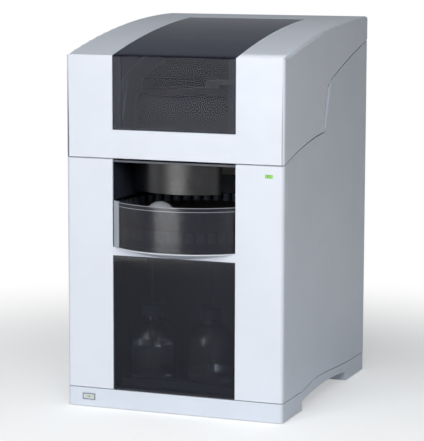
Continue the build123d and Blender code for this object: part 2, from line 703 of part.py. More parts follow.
with BuildPart() as lift_shield:
    curved = sector(SHIELD_R - SHEET, SHIELD_R, SHIELD_LEFT_DEG, SHIELD_RIGHT_DEG)
    extrude(curved.moved(Location((0, 0, SHIELD_BOTTOM_Z))), amount=DECK_BOTTOM_Z - SHIELD_BOTTOM_Z)
keep(lift_shield, "lift_shield")

# Curved tray door: a smoked arc with a ribbed grip near its left end
with BuildPart() as tray_door_pane:
    curved = sector(DOOR_R - PANE, DOOR_R, DOOR_LEFT_DEG, DOOR_RIGHT_DEG)
    extrude(curved.moved(Location((0, 0, LEDGE_Z + FIT))), amount=DOOR_TOP_Z - LEDGE_Z - FIT)
keep(tray_door_pane, "tray_door_pane")

with BuildPart() as tray_door_grip:
    curved = sector(DOOR_R, DOOR_R + GRIP_PROUD, GRIP_LEFT_DEG, GRIP_RIGHT_DEG)
    extrude(curved.moved(Location((0, 0, LEDGE_Z + FIT))), amount=DOOR_TOP_Z + GRIP_RISE - LEDGE_Z - FIT)
    tall = tray_door_grip.edges().filter_by(Axis.Z).filter_by(
        lambda e: (Vector(0, AXIS_Y) - Vector(e.center().X, e.center().Y)).length > DOOR_R + SEAM
    )
    fillet(tall, GRIP_PROUD / 2)
keep(tray_door_grip, "tray_door_grip")

# Vial tray: a turntable plate on ribs and a hub, with a ring of sockets
with BuildPart() as vial_tray:
    rod(0, TRAY_AXIS_D, (TRAY_TOP_Z - TRAY_PLATE, TRAY_TOP_Z), TRAY_R)
    rod(0, TRAY_AXIS_D, (TRAY_TOP_Z - TRAY_RIM_H, TRAY_TOP_Z - TRAY_PLATE), TRAY_R)
    rod(0, TRAY_AXIS_D, (TRAY_TOP_Z - TRAY_RIM_H, TRAY_TOP_Z - TRAY_PLATE), TRAY_R - SKIN, Mode.SUBTRACT)
    hub_z = LEDGE_Z + BEARING_H + FIT
    rod(0, TRAY_AXIS_D, (hub_z, TRAY_TOP_Z), HUB_R)
    with BuildSketch(Plane.XY.offset(TRAY_TOP_Z)):
        with Locations((0, AXIS_Y)):
            with PolarLocations(VIAL_RING_R, VIAL_COUNT):
                RegularPolygon(VIAL_R + VIAL_HOLE_CLEAR, SOCKET_SIDES, major_radius=False)
    extrude(amount=-TRAY_PLATE, mode=Mode.SUBTRACT)
    rod(0, TRAY_AXIS_D, (0, TRAY_TOP_Z - TRAY_PLATE), SPINDLE_R + SLIP / 2, Mode.SUBTRACT)
keep(vial_tray, "vial_tray")

with BuildPart() as vials:
    with BuildSketch(Plane.XY.offset(TRAY_TOP_Z - VIAL_LEN)):
        with Locations((0, AXIS_Y)):
            with PolarLocations(VIAL_RING_R, VIAL_COUNT):
                RegularPolygon(VIAL_R, SOCKET_SIDES, major_radius=False)
    extrude(amount=VIAL_LEN)
keep(vials, "vials")

with BuildPart() as vial_caps:
    with BuildSketch(Plane.XY.offset(TRAY_TOP_Z)):
        with Locations((0, AXIS_Y)):
            with PolarLocations(VIAL_RING_R, VIAL_COUNT):
                RegularPolygon(CAP_R, CAP_SIDES)
    extrude(amount=CAP_H)
keep(vial_caps, "vial_caps")

# Grip of the tray: a clear dome, turned from a run of straight slopes
with BuildPart() as tray_knob:
    knob_x, knob_y, knob_z = around(KNOB_RING_R, KNOB_DEG, TRAY_TOP_Z)
    with BuildSketch(Plane(origin=(knob_x, knob_y, knob_z), x_dir=(1, 0, 0), z_dir=(0, -1, 0))):
        with BuildLine():
            slopes = [(KNOB_R * cos(radians(rise)), KNOB_R * sin(radians(rise))) for rise in KNOB_RISES_DEG]
            Polyline((0, 0), *slopes, (0, slopes[-1][1]), close=True)
        make_face()
    revolve(axis=Axis((knob_x, knob_y, knob_z), (0, 0, 1)))
keep(tray_knob, "tray_knob")

with BuildPart() as tray_spindle:
    rod(0, TRAY_AXIS_D, (BAY_FLOOR_Z - SPINDLE_TAIL, TRAY_TOP_Z - TRAY_PLATE), SPINDLE_R)
keep(tray_spindle, "tray_spindle")

with BuildPart() as tray_bearing:
    rod(0, TRAY_AXIS_D, (LEDGE_Z, LEDGE_Z + BEARING_H), HUB_R / 2 + SKIN)
    rod(0, TRAY_AXIS_D, (0, HEIGHT), SPINDLE_R + SLIP, Mode.SUBTRACT)
keep(tray_bearing, "tray_bearing")

with BuildPart() as tray_motor:
    motor_d = (TRAY_AXIS_D - MOTOR_R, TRAY_AXIS_D + MOTOR_R)
    block((-MOTOR_R, MOTOR_R), motor_d, (BAY_FLOOR_Z - SPINDLE_TAIL, BAY_FLOOR_Z))
    chamfer(tray_motor.edges().filter_by(Axis.Z), CORNER_R)
    rod(0, TRAY_AXIS_D, (0, HEIGHT), SPINDLE_R + SLIP, Mode.SUBTRACT)
keep(tray_motor, "tray_motor")

# Vial lifters: a rod with a flat head that slides in a guide on top of its drive
for side, name in ((-1, "inlet_lifter"), (1, "outlet_lifter")):
    with BuildPart() as lifter:
        rod(side * LIFT_X, LIFT_D, (BAY_FLOOR_Z - LIFT_GUIDE_LEN + SKIN, LEDGE_Z + FIT), LIFT_ROD_R)
        rod(side * LIFT_X, LIFT_D, (LEDGE_Z + FIT, LEDGE_Z + FIT + LIFT_HEAD_H), LIFT_HEAD_R)
    keep(lifter, name)

with BuildPart() as lifter_guides:
    for side in (-1, 1):
        flange_z = BAY_FLOOR_Z - LIFT_GUIDE_LEN
        for half_side, top_z in ((LIFT_GUIDE_R, BAY_FLOOR_Z), (LIFT_MOTOR_W / 2, flange_z + SKIN)):
            block(
                (side * LIFT_X - half_side, side * LIFT_X + half_side),
                (LIFT_D - half_side, LIFT_D + half_side),
                (flange_z, top_z),
            )
        rod(side * LIFT_X, LIFT_D, (0, HEIGHT), LIFT_ROD_R + SLIP, Mode.SUBTRACT)
keep(lifter_guides, "lifter_guides")

with BuildPart() as lifter_motors:
    motor_top_z = BAY_FLOOR_Z - LIFT_GUIDE_LEN
    for side in (-1, 1):
        lifter_x = side * LIFT_X
        block(
            (lifter_x - LIFT_MOTOR_W / 2, lifter_x + LIFT_MOTOR_W / 2),
            (LIFT_D - LIFT_MOTOR_W / 2, LIFT_D + LIFT_MOTOR_W / 2),
            (motor_top_z - LIFT_MOTOR_H, motor_top_z),
        )
    chamfer(lifter_motors.edges().filter_by(Axis.Z), SKIN)
keep(lifter_motors, "lifter_motors")

# Electrode station: an insulating block under the deck with two hollow steel electrodes
with BuildPart() as electrode_block:
    half_t = CASSETTE_T / 2
    block(
        (-CASSETTE_W / 2, CASSETTE_W / 2),
        (LIFT_D - half_t, LIFT_D + half_t),
        (ELECTRODE_BLOCK_Z, DECK_BOTTOM_Z),
    )
    fillet(electrode_block.edges().filter_by(Axis.Z), CORNER_R)
    for side in (-1, 1):
        bar(side * LIFT_X, LIFT_D, (0, HEIGHT), ELECTRODE_R + BOND, CAP_SIDES, Mode.SUBTRACT)
keep(electrode_block, "electrode_block")

with BuildPart() as electrodes:
    for side in (-1, 1):
        electrode_z = (TRAY_TOP_Z + CAP_H + ELECTRODE_GAP, DECK_BOTTOM_Z)
        bar(side * LIFT_X, LIFT_D, electrode_z, ELECTRODE_R, CAP_SIDES)
        bar(side * LIFT_X, LIFT_D, (0, HEIGHT), ELECTRODE_R - ELECTRODE_WALL, CAP_SIDES, Mode.SUBTRACT)
keep(electrodes, "electrodes")

# Thermostat housing: the moulded block seen through the hood window, with the cassette's well
with BuildPart() as thermostat_housing:
    with BuildSketch(Plane.YZ) as profile:
        with BuildLine():
            Polyline(
                at(HOUSING_FRONT_D, DECK_TOP_Z),
                at(HOUSING_FRONT_D + HOUSING_RAKE, HOUSING_TOP_Z),
                at(HOUSING_END_D, HOUSING_TOP_Z),
                at(HOUSING_END_D, DECK_TOP_Z),
                close=True,
            )
        make_face()
    extrude(amount=HOUSING_HALF_W, both=True)
    fillet(thermostat_housing.edges().filter_by(Axis.X).group_by(Axis.Z)[-1], 2 * ROOF_EDGE_R)
    well_w = CASSETTE_W + 2 * CASSETTE_FIT
    block(
        (-well_w / 2, well_w / 2),
        (LIFT_D - half_t - CASSETTE_FIT, LIFT_D + half_t + CASSETTE_FIT),
        (DECK_TOP_Z + CASSETTE_FLOOR, HEIGHT),
        Mode.SUBTRACT,
    )
    for side in (-1, 1):
        rod(side * LIFT_X, LIFT_D, (0, HEIGHT), 2 * ELECTRODE_R, Mode.SUBTRACT)
keep(thermostat_housing, "thermostat_housing")

# Cassette: a flat cartridge that holds the wound capillary and lifts out by its tab
cassette_z = DECK_TOP_Z + CASSETTE_FLOOR
with BuildPart() as cassette:
    with BuildSketch(front_plane(LIFT_D + half_t)) as plate:
        with Locations((0, cassette_z + CASSETTE_H / 2)):
            Rectangle(CASSETTE_W, CASSETTE_H)
        with Locations((0, cassette_z + CASSETTE_H)):
            Rectangle(CASSETTE_W / 2, 2 * CASSETTE_TAB_H)
        chamfer(plate.vertices(), CORNER_R / 2)
    extrude(amount=CASSETTE_T)
    with BuildSketch(front_plane(LIFT_D - half_t)):
        with Locations((0, cassette_z + CASSETTE_H / 2)):
            Rectangle(CASSETTE_W - 4 * CORNER_R, CASSETTE_H - 4 * CORNER_R)
            Rectangle(CASSETTE_W / 2, CASSETTE_H / 4, mode=Mode.SUBTRACT)
    extrude(amount=-CASSETTE_T / 4, mode=Mode.SUBTRACT)
    with BuildSketch(front_plane(LIFT_D + half_t)):
        with Locations((0, cassette_z + CASSETTE_H)):
            Rectangle(CASSETTE_W / 4, CASSETTE_TAB_H)
    extrude(amount=CASSETTE_T, mode=Mode.SUBTRACT)
    for side in (-1, 1):
        capillary_end_z = TRAY_TOP_Z + CAP_H + ELECTRODE_GAP / 2
        bar(side * LIFT_X, LIFT_D, (capillary_end_z, cassette_z), CAPILLARY_R, SOCKET_SIDES)
keep(cassette, "cassette")

# Rear housing: a hollow cover over the optics, sloped like the hood's edge beside it
with BuildPart() as rear_housing:
    with BuildSketch(Plane.YZ) as profile:
        with BuildLine():
            Polyline(
                at(REAR_HOUSING_D, DECK_TOP_Z),
                at(REAR_HOUSING_D, REAR_HOUSING_FRONT_Z),
                at(REAR_FACE_D - LEAF_T - SEAM, REAR_HOUSING_BACK_Z),
                at(REAR_FACE_D - LEAF_T - SEAM, DECK_TOP_Z),
                close=True,
            )
        make_face()
    extrude(amount=REAR_HOUSING_HALF_W, both=True)
    fillet(rear_housing.edges().filter_by(Axis.Z), CORNER_R)
    fillet(rear_housing.faces().sort_by(Axis.Z)[-1].edges(), SKIN)
    with BuildSketch(Plane.YZ) as hollow:
        with BuildLine():
            Polyline(
                at(REAR_HOUSING_D + 2 * SKIN, DECK_TOP_Z),
                at(REAR_HOUSING_D + 2 * SKIN, REAR_HOUSING_FRONT_Z - 2 * SKIN),
                at(REAR_FACE_D - 2 * SKIN - LEAF_T - SEAM, REAR_HOUSING_BACK_Z - 2 * SKIN),
                at(REAR_FACE_D - 2 * SKIN - LEAF_T - SEAM, DECK_TOP_Z),
                close=True,
            )
        make_face()
    extrude(hollow.sketch, amount=REAR_HOUSING_HALF_W - 2 * SKIN, both=True, mode=Mode.SUBTRACT)
keep(rear_housing, "rear_housing")

with BuildPart() as detector:
    optics_x = (-OPTICS_W / 2, OPTICS_W / 2)
    block(optics_x, (REAR_HOUSING_D + 3 * SKIN, REAR_HOUSING_D + OPTICS_D), (DECK_TOP_Z, DECK_TOP_Z + OPTICS_H))
    chamfer(detector.edges().filter_by(Axis.Z), 2 * CORNER_R)
keep(detector, "detector")

with BuildPart() as lamp_housing:
    for grow, levels in ((0, (0,)), (2 * SKIN, range(1, LAMP_FINS + 1))):
        lamp_x = (OPTICS_W - LAMP_HOUSING_R - grow, OPTICS_W + LAMP_HOUSING_R + grow)
        lamp_mid_d = REAR_HOUSING_D + OPTICS_D / 2
        lamp_d = (lamp_mid_d - LAMP_HOUSING_R - grow, lamp_mid_d + LAMP_HOUSING_R + grow)
        for level in levels:
            low_z = DECK_TOP_Z + level * OPTICS_H / (LAMP_FINS + 1)
            block(lamp_x, lamp_d, (low_z, low_z + SHEET if level else DECK_TOP_Z + OPTICS_H))
keep(lamp_housing, "lamp_housing")

# Bottle bay: an open tub behind the lower door, a rack and two bottles with their caps and tubes
with BuildPart() as bottle_bay:
    tub_z = (FLOOR_Z, BAY_FLOOR_Z - SPINDLE_TAIL - SHEET)
    block((-BAY_HALF_W - SHEET, BAY_HALF_W + SHEET), (DOOR_T + FIT, BOTTLE_BAY_D), tub_z)
    fillet(bottle_bay.edges().filter_by(Axis.Z).group_by(Axis.Y)[-1], 2 * CORNER_R)
    inner_z = (tub_z[0] + SHEET, tub_z[1] - SHEET)
    block((-BAY_HALF_W, BAY_HALF_W), (0, BOTTLE_BAY_D - 3 * SHEET), inner_z, Mode.SUBTRACT)
    magnet_x = OPENING - 2 * CORNER_R
    block((magnet_x, magnet_x + CORNER_R), (DOOR_T + FIT, 3 * DOOR_T), (inner_z[1] - CORNER_R, inner_z[1]))
keep(bottle_bay, "bottle_bay")

with BuildPart() as bottle_rack:
    rack_z = FLOOR_Z + SHEET
    block((-OPENING + SEAM, OPENING - SEAM), (2 * CROSSBAR_D, 2 * BOTTLE_D), (rack_z, rack_z + RACK_H))
    fillet(bottle_rack.edges().filter_by(Axis.Z), CORNER_R)
    for x in (BOTTLE_MID_X - BOTTLE_PITCH / 2, BOTTLE_MID_X + BOTTLE_PITCH / 2):
        rod(x, BOTTLE_D, (rack_z + SHEET, HEIGHT), BOTTLE_R + 2 * FIT, Mode.SUBTRACT)
keep(bottle_rack, "bottle_rack")


def bottle_half(inset):
    """Half of a bottle's section in its own plane, drawn in by its wall."""
    foot_z = rack_z + SHEET + inset
    shoulder_z = rack_z + SHEET + BOTTLE_BODY_H
    mouth_z = shoulder_z + BOTTLE_SHOULDER_H + BOTTLE_NECK_H
    body_r, neck_r = BOTTLE_R - inset, BOTTLE_NECK_R - inset
    slopes = [
        (neck_r + (body_r - neck_r) * cos(radians(rise)), shoulder_z + BOTTLE_SHOULDER_H * sin(radians(rise)))
        for rise in SHOULDER_RISES_DEG
    ]
    with BuildSketch(Plane.XZ) as half_section:
        with BuildLine():
            Polyline((0, mouth_z), (0, foot_z), (body_r, foot_z), *slopes, (neck_r, mouth_z), (0, mouth_z))
        make_face()
    return half_section.sketch


bottle_top_z = rack_z + SHEET + BOTTLE_BODY_H + BOTTLE_SHOULDER_H + BOTTLE_NECK_H
for x, name in ((BOTTLE_MID_X - BOTTLE_PITCH / 2, "buffer_bottle"), (BOTTLE_MID_X + BOTTLE_PITCH / 2, "waste_bottle")):
    with BuildPart() as bottle:
        place = Location((x, Y_FRONT + BOTTLE_D, 0))
        turn = Axis((x, Y_FRONT + BOTTLE_D, 0), (0, 0, 1))
        revolve(bottle_half(0).moved(place), axis=turn)
        revolve(bottle_half(BOTTLE_WALL).moved(place), axis=turn, mode=Mode.SUBTRACT)
    keep(bottle, name)

with BuildPart() as bottle_caps:
    for x in (BOTTLE_MID_X - BOTTLE_PITCH / 2, BOTTLE_MID_X + BOTTLE_PITCH / 2):
        rod(x, BOTTLE_D, (bottle_top_z, bottle_top_z + BOTTLE_CAP_H), BOTTLE_CAP_R)
        rod(x, BOTTLE_D, (bottle_top_z, HEIGHT), TUBE_R + SLIP / 2, Mode.SUBTRACT)
keep(bottle_caps, "bottle_caps")

with BuildPart() as bottle_tubes:
    for x in (BOTTLE_MID_X - BOTTLE_PITCH / 2, BOTTLE_MID_X + BOTTLE_PITCH / 2):
        rod(x, BOTTLE_D, (rack_z + 2 * RACK_H, inner_z[1]), TUBE_R)
keep(bottle_tubes, "bottle_tubes")

# Lower door: a smoked pane with a full round and a stiffening strip at its hinge edge, and its two pins
with BuildPart() as lower_door:
    with BuildSketch(Plane.XY.offset(DOOR_BOTTOM_Z)):
        with Locations(((OPENING - DOOR_SIDE_GAP + DOOR_AXIS_X) / 2, Y_FRONT + DOOR_T / 2)):
            Rectangle(OPENING - DOOR_SIDE_GAP - DOOR_AXIS_X, DOOR_T)
        with Locations((DOOR_AXIS_X, Y_FRONT + DOOR_T / 2)):
            Circle(DOOR_T / 2)
    extrude(amount=DOOR_HEAD_Z - DOOR_BOTTOM_Z)
    reach = PIN_GRIP + FIT
    door_d = DOOR_T / 2
    rod(DOOR_AXIS_X, door_d, (DOOR_BOTTOM_Z, DOOR_BOTTOM_Z + reach), PIN_R + SLIP, Mode.SUBTRACT)
    rod(DOOR_AXIS_X, door_d, (DOOR_HEAD_Z - reach, DOOR_HEAD_Z), PIN_R + SLIP, Mode.SUBTRACT)
    strip_x = DOOR_AXIS_X + DOOR_T
    block((strip_x, strip_x + FLANGE_BAND), (DOOR_T, DOOR_T + SHEET), (DOOR_BOTTOM_Z + SKIN, DOOR_HEAD_Z - SKIN))
keep(lower_door, "lower_door")

with BuildPart() as lower_door_pins:
    rod(DOOR_AXIS_X, door_d, (BASE_H - PIN_GRIP, DOOR_BOTTOM_Z + PIN_GRIP), PIN_R)
    rod(DOOR_AXIS_X, door_d, (DOOR_HEAD_Z - PIN_GRIP, CROSSBAR_Z + PIN_GRIP), PIN_R)
keep(lower_door_pins, "lower_door_pins")

# Front controls: the power button with its switch, and the status lamp
with BuildPart() as power_button:
    with BuildSketch(front_plane(-BUTTON_PROUD)):
        with Locations((BUTTON_X, BUTTON_Z)):
            RectangleRounded(BUTTON_W, BUTTON_H, SKIN / 2)
    extrude(amount=-BUTTON_PROUD - PLINTH_WALL - FIT)
    with BuildSketch(front_plane(PLINTH_WALL + FIT)):
        with Locations((BUTTON_X, BUTTON_Z)):
            Rectangle(BUTTON_W + SKIN, BUTTON_H + SKIN)
    extrude(amount=-SHEET)
keep(power_button, "power_button")

with BuildPart() as power_switch:
    switch_d = PLINTH_WALL + FIT + SHEET + BUTTON_TRAVEL + FIT
    switch_x = (BUTTON_X - BUTTON_W / 3, BUTTON_X + BUTTON_W / 3)
    block(switch_x, (switch_d, switch_d + BUTTON_W), (FOOT_PROUD + PLINTH_FLOOR, BUTTON_Z + BUTTON_H / 2))
    chamfer(power_switch.edges().filter_by(Axis.Y).group_by(Axis.Z)[-1], SEAM)
keep(power_switch, "power_switch")

with BuildPart() as status_lamp:
    with BuildSketch(front_plane(-FIT)):
        with Locations((LAMP_X, LAMP_Z)):
            RectangleRounded(LAMP_W, LAMP_H, LAMP_H / 5)
    extrude(amount=-FIT - SKIN)
    with BuildSketch(front_plane(SKIN)):
        with Locations((LAMP_X, LAMP_Z)):
            Rectangle(LAMP_W + SKIN, LAMP_H + SKIN)
    extrude(amount=-SHEET)
keep(status_lamp, "status_lamp")

# Electronics behind the bulkhead
with BuildPart() as power_supply:
    block((-PSU_W - HUB_R, -HUB_R), (BULKHEAD_D + 2 * SHEET, REAR_FACE_D - 2 * HUB_R), (FLOOR_Z, FLOOR_Z + PSU_H / 2))
    with BuildSketch(power_supply.faces().sort_by(Axis.Z)[-1]):
        with GridLocations(2 * CROSSBAR_D, 0, 5, 1):
            Rectangle(SKIN, PSU_H)
    extrude(amount=-SHEET, mode=Mode.SUBTRACT)
keep(power_supply, "power_supply")

with BuildPart() as high_voltage_supply:
    block((HUB_R, HUB_R + PSU_W), (BULKHEAD_D + 2 * SHEET, REAR_FACE_D - 2 * HUB_R), (FLOOR_Z, FLOOR_Z + PSU_H))
    chamfer(high_voltage_supply.edges().group_by(Axis.Z)[-1], SKIN)
keep(high_voltage_supply, "high_voltage_supply")

with BuildPart() as main_board:
    board_d = BULKHEAD_D + SHEET + BOARD_STANDOFF
    board_z = (DECK_BOTTOM_Z - BOARD_H - CORNER_R, DECK_BOTTOM_Z - CORNER_R)
    block((-BOARD_W / 2, BOARD_W / 2), (board_d, board_d + SHEET), board_z)
    with BuildSketch(front_plane(BULKHEAD_D + SHEET)):
        with Locations((0, sum(board_z) / 2)):
            with GridLocations(BOARD_W - 4 * CORNER_R, BOARD_H - 4 * CORNER_R, 2, 2):
                Rectangle(2 * SKIN, 2 * SKIN)
    extrude(amount=-BOARD_STANDOFF)
    with BuildSketch(front_plane(board_d + SHEET)):
        with Locations((0, sum(board_z) / 2)):
            with GridLocations(BOARD_W / 4, BOARD_H / 3, 3, 2):
                Rectangle(BOARD_W / 8, BOARD_H / 6)
    extrude(amount=-SKIN)
keep(main_board, "main_board")

with BuildPart() as pressure_pump:
    pump_d = BULKHEAD_D + 2 * HUB_R
    for half_side, top_z in ((HUB_R - 3 * SHEET, FLOOR_Z + PSU_H), (HUB_R - SHEET, FLOOR_Z + PSU_H / 2)):
        block((-half_side, half_side), (pump_d - half_side, pump_d + half_side), (FLOOR_Z, top_z))
    chamfer(pressure_pump.edges().group_by(Axis.Z)[-1], SHEET)
keep(pressure_pump, "pressure_pump")

# Fan: a square frame on the rear panel with struts that hold the motor of a bladed rotor
with BuildPart() as fan_housing:
    with BuildSketch(front_plane(REAR_FACE_D)):
        with Locations((FAN_X, FAN_Z)):
            RectangleRounded(FAN_SIZE, FAN_SIZE, CORNER_R)
            Circle(FAN_SIZE / 2 - SHEET, mode=Mode.SUBTRACT)
    extrude(amount=FAN_DEPTH)
    with BuildSketch(front_plane(REAR_FACE_D)):
        with Locations((FAN_X, FAN_Z)):
            Rectangle(FAN_SIZE - SHEET, SKIN)
            Rectangle(SKIN, FAN_SIZE - SHEET)
            Circle(FAN_HUB_R)
    extrude(amount=SKIN)
    with BuildSketch(front_plane(REAR_FACE_D - SKIN)):
        with Locations((FAN_X, FAN_Z)):
            Circle(FAN_SHAFT_R)
    extrude(amount=FAN_DEPTH / 2)
keep(fan_housing, "fan_housing")

with BuildPart() as fan_rotor:
    rotor_d = REAR_FACE_D - SKIN - SEAM
    rotor_depth = FAN_DEPTH - 2 * SKIN - SEAM
    with BuildSketch(front_plane(rotor_d)):
        with Locations((FAN_X, FAN_Z)):
            Circle(FAN_HUB_R)
    extrude(amount=rotor_depth)
    with BuildSketch(front_plane(rotor_d - SHEET)):
        with Locations((FAN_X, FAN_Z)):
            with PolarLocations((FAN_HUB_R + FAN_SIZE / 2 - 2 * SHEET) / 2, FAN_BLADES):
                Rectangle(FAN_SIZE / 2 - 2 * SHEET - FAN_HUB_R + SHEET, SHEET)
    extrude(amount=rotor_depth - 2 * SHEET)
    with BuildSketch(front_plane(REAR_FACE_D)):
        with Locations((FAN_X, FAN_Z)):
            Circle(FAN_SHAFT_R + SLIP)
    extrude(amount=SKIN + FAN_DEPTH / 2 + FIT, mode=Mode.SUBTRACT)
keep(fan_rotor, "fan_rotor")

# Rear connections
with BuildPart() as mains_inlet:
    with BuildSketch(front_plane(DEPTH + SHEET)):
        with Locations((MAINS_X, MAINS_Z)):
            Rectangle(INLET_W + 2 * INLET_LAP + 2 * SKIN, INLET_H + 2 * INLET_LAP)
    extrude(amount=SHEET)
    with BuildSketch(front_plane(DEPTH)):
        with Locations((MAINS_X, MAINS_Z)):
            Rectangle(INLET_W, INLET_H)
    extrude(amount=INLET_H)
    with BuildSketch(front_plane(DEPTH + SHEET)):
        with Locations((MAINS_X, MAINS_Z)):
            Rectangle(INLET_W - SKIN, INLET_H - SKIN)
    extrude(amount=INLET_H - SHEET, mode=Mode.SUBTRACT)
    with BuildSketch(front_plane(DEPTH + SHEET - INLET_H + SHEET)):
        with Locations((MAINS_X, MAINS_Z)):
            with Locations((-PIN_PITCH, 0), (0, SKIN), (PIN_PITCH, 0)):
                Rectangle(SHEET, 2 * SHEET)
    extrude(amount=-INLET_H / 2)
keep(mains_inlet, "mains_inlet")

with BuildPart() as connector_panel:
    with BuildSketch(front_plane(DEPTH + SHEET)):
        with Locations((PORTS_X, PORTS_Z)):
            Rectangle(PORTS_W, PORTS_H)
    extrude(amount=SHEET)
    with BuildSketch(front_plane(DEPTH)):
        with Locations((PORTS_X, PORTS_Z)):
            with GridLocations(PORTS_W / 4, 0, 3, 1):
                Rectangle(PORTS_W / 6, PORTS_H / 2)
    extrude(amount=2 * SKIN)
    with BuildSketch(front_plane(DEPTH + SHEET)):
        with Locations((PORTS_X, PORTS_Z)):
            with GridLocations(PORTS_W / 4, 0, 3, 1):
                Rectangle(PORTS_W / 6 - SKIN, PORTS_H / 2 - SKIN)
    extrude(amount=SHEET + SKIN, mode=Mode.SUBTRACT)
keep(connector_panel, "connector_panel")

with BuildPart() as gas_inlet:
    with BuildSketch(front_plane(DEPTH + REAR_PROUD)):
        with Locations((GAS_X, HOSE_Z)):
            Circle(FITTING_R)
    extrude(amount=REAR_PROUD + 2 * SKIN)
    with BuildSketch(front_plane(DEPTH + FITTING_R)):
        with Locations((GAS_X, HOSE_Z)):
            RegularPolygon(FITTING_R + SKIN, 6)
    extrude(amount=FITTING_R)
    with BuildSketch(front_plane(DEPTH + REAR_PROUD)):
        with Locations((GAS_X, HOSE_Z)):
            Circle(GAS_BORE_R)
    extrude(amount=REAR_PROUD, mode=Mode.SUBTRACT)
keep(gas_inlet, "gas_inlet")

with BuildPart() as drain_outlet:
    with BuildSketch(front_plane(DEPTH + SKIN)):
        with Locations((DRAIN_X, HOSE_Z)):
            RegularPolygon(FITTING_R + SKIN, 6)
    extrude(amount=SKIN)
    with BuildSketch(front_plane(DEPTH)):
        with Locations((DRAIN_X, HOSE_Z)):
            Circle(FITTING_R)
    extrude(amount=2 * SKIN)
    with BuildSketch(front_plane(DEPTH + REAR_PROUD)):
        with Locations((DRAIN_X, HOSE_Z)):
            Circle(DRAIN_R)
    extrude(amount=REAR_PROUD)
    with BuildSketch(front_plane(DEPTH + REAR_PROUD)):
        with Locations((DRAIN_X, HOSE_Z)):
            Circle(DRAIN_R - SEAM)
    extrude(amount=REAR_PROUD, mode=Mode.SUBTRACT)
keep(drain_outlet, "drain_outlet")

with BuildPart() as panel_screws:
    with BuildSketch(front_plane(DEPTH)):
        with Locations((0, (BASE_H + REAR_PANEL_TOP_Z) / 2)):
            with GridLocations(2 * SCREW_X, SCREW_PITCH, 2, SCREW_ROWS):
                RegularPolygon(SCREW_R, CAP_SIDES)
    extrude(amount=-SCREW_HEAD)
keep(panel_screws, "panel_screws")
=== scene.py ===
# %% [markdown]
# A capillary electrophoresis system is a bench instrument a little over half a metre tall.
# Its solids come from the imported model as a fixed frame. This lesson dresses them: soft edges,
# moulded and smoked plastic, and the small pieces that a solid model leaves plain.

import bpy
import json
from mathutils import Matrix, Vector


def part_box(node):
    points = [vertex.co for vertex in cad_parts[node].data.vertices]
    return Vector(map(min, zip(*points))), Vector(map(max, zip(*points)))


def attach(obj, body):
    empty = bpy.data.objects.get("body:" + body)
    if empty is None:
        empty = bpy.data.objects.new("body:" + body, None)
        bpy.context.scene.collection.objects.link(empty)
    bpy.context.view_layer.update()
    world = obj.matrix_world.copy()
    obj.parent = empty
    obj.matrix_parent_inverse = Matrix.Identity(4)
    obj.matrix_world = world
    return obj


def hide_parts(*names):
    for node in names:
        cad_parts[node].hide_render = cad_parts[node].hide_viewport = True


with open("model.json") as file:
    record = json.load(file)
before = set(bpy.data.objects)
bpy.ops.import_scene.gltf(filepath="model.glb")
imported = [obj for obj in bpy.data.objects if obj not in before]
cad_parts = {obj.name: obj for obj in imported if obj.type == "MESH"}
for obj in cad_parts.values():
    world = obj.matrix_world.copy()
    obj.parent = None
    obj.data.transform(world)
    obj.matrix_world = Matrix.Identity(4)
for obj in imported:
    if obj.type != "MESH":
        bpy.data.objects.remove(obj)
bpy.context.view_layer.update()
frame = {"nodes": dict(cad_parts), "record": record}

# %% Tools and names
import json
from math import cos, pi, radians, sin

import bpy
from mathutils import Matrix, Vector

MM = 0.001
record = frame["record"]
body_of = {node: body for body, nodes in record["behaviour"]["bodies"].items() for node in nodes}
slot_of = {entry["node"]: entry["material_slot"] for entry in record["subparts"]}
print("slots:", len(set(slot_of.values())))

# %% [markdown]
# The camera comes first, because everything is judged through it. A long lens far away keeps
# the instrument's uprights nearly parallel, as a product photographer would.

# %% Camera
CAMERA_PLACE = Vector((1.1121, -2.9427, 0.7147))
CAMERA_YAW = radians(20.921)
CAMERA_DIP = radians(8.016)
CAMERA_ROLL = radians(0.157)
camera = bpy.data.objects.new("camera", bpy.data.cameras.new("camera"))
bpy.context.scene.collection.objects.link(camera)
camera.data.lens = 163.16
camera.data.sensor_width = 36.0
turn = Matrix.Rotation(CAMERA_YAW, 4, "Z") @ Matrix.Rotation(pi / 2 - CAMERA_DIP, 4, "X")
camera.matrix_world = Matrix.Translation(CAMERA_PLACE) @ turn @ Matrix.Rotation(CAMERA_ROLL, 4, "Z")
bpy.context.scene.camera = camera
bpy.context.scene.view_settings.view_transform = "Standard"
print("lens:", camera.data.lens)

# %% [markdown]
# Light Path tells a shader what kind of ray asks. The world and the floor use it to look near
# white to the camera, dimmer in mirrored rays, and dimmer still where they would light the
# object. An evenly white room would be simpler, but the dark panes would mirror it and turn grey.

# %% Rays and colours
def shader_tree(name):
    """A new material's tree, its Principled shader and a function that links two sockets."""
    material = bpy.data.materials.new(name)
    material.use_nodes = True
    tree = material.node_tree
    return material, tree, tree.nodes["Principled BSDF"], tree.links.new


def chosen(tree, ray, otherwise, seen):
    """One strength for a kind of ray, and another for the rest."""
    pick = tree.nodes.new("ShaderNodeMix")
    tree.links.new(ray, pick.inputs["Factor"])
    for socket, value in (("A", otherwise), ("B", seen)):
        if isinstance(value, float):
            pick.inputs[socket].default_value = value
        else:
            tree.links.new(value, pick.inputs[socket])
    return pick.outputs["Result"]


def seen_strength(tree, lighting, mirrored, seen):
    """One strength for the rays that light things, one for mirrored rays and one for seen rays."""
    path = tree.nodes.new("ShaderNodeLightPath")
    strength = chosen(tree, path.outputs["Is Glossy Ray"], lighting, mirrored)
    strength = chosen(tree, path.outputs["Is Transmission Ray"], strength, seen)
    return chosen(tree, path.outputs["Is Camera Ray"], strength, seen)


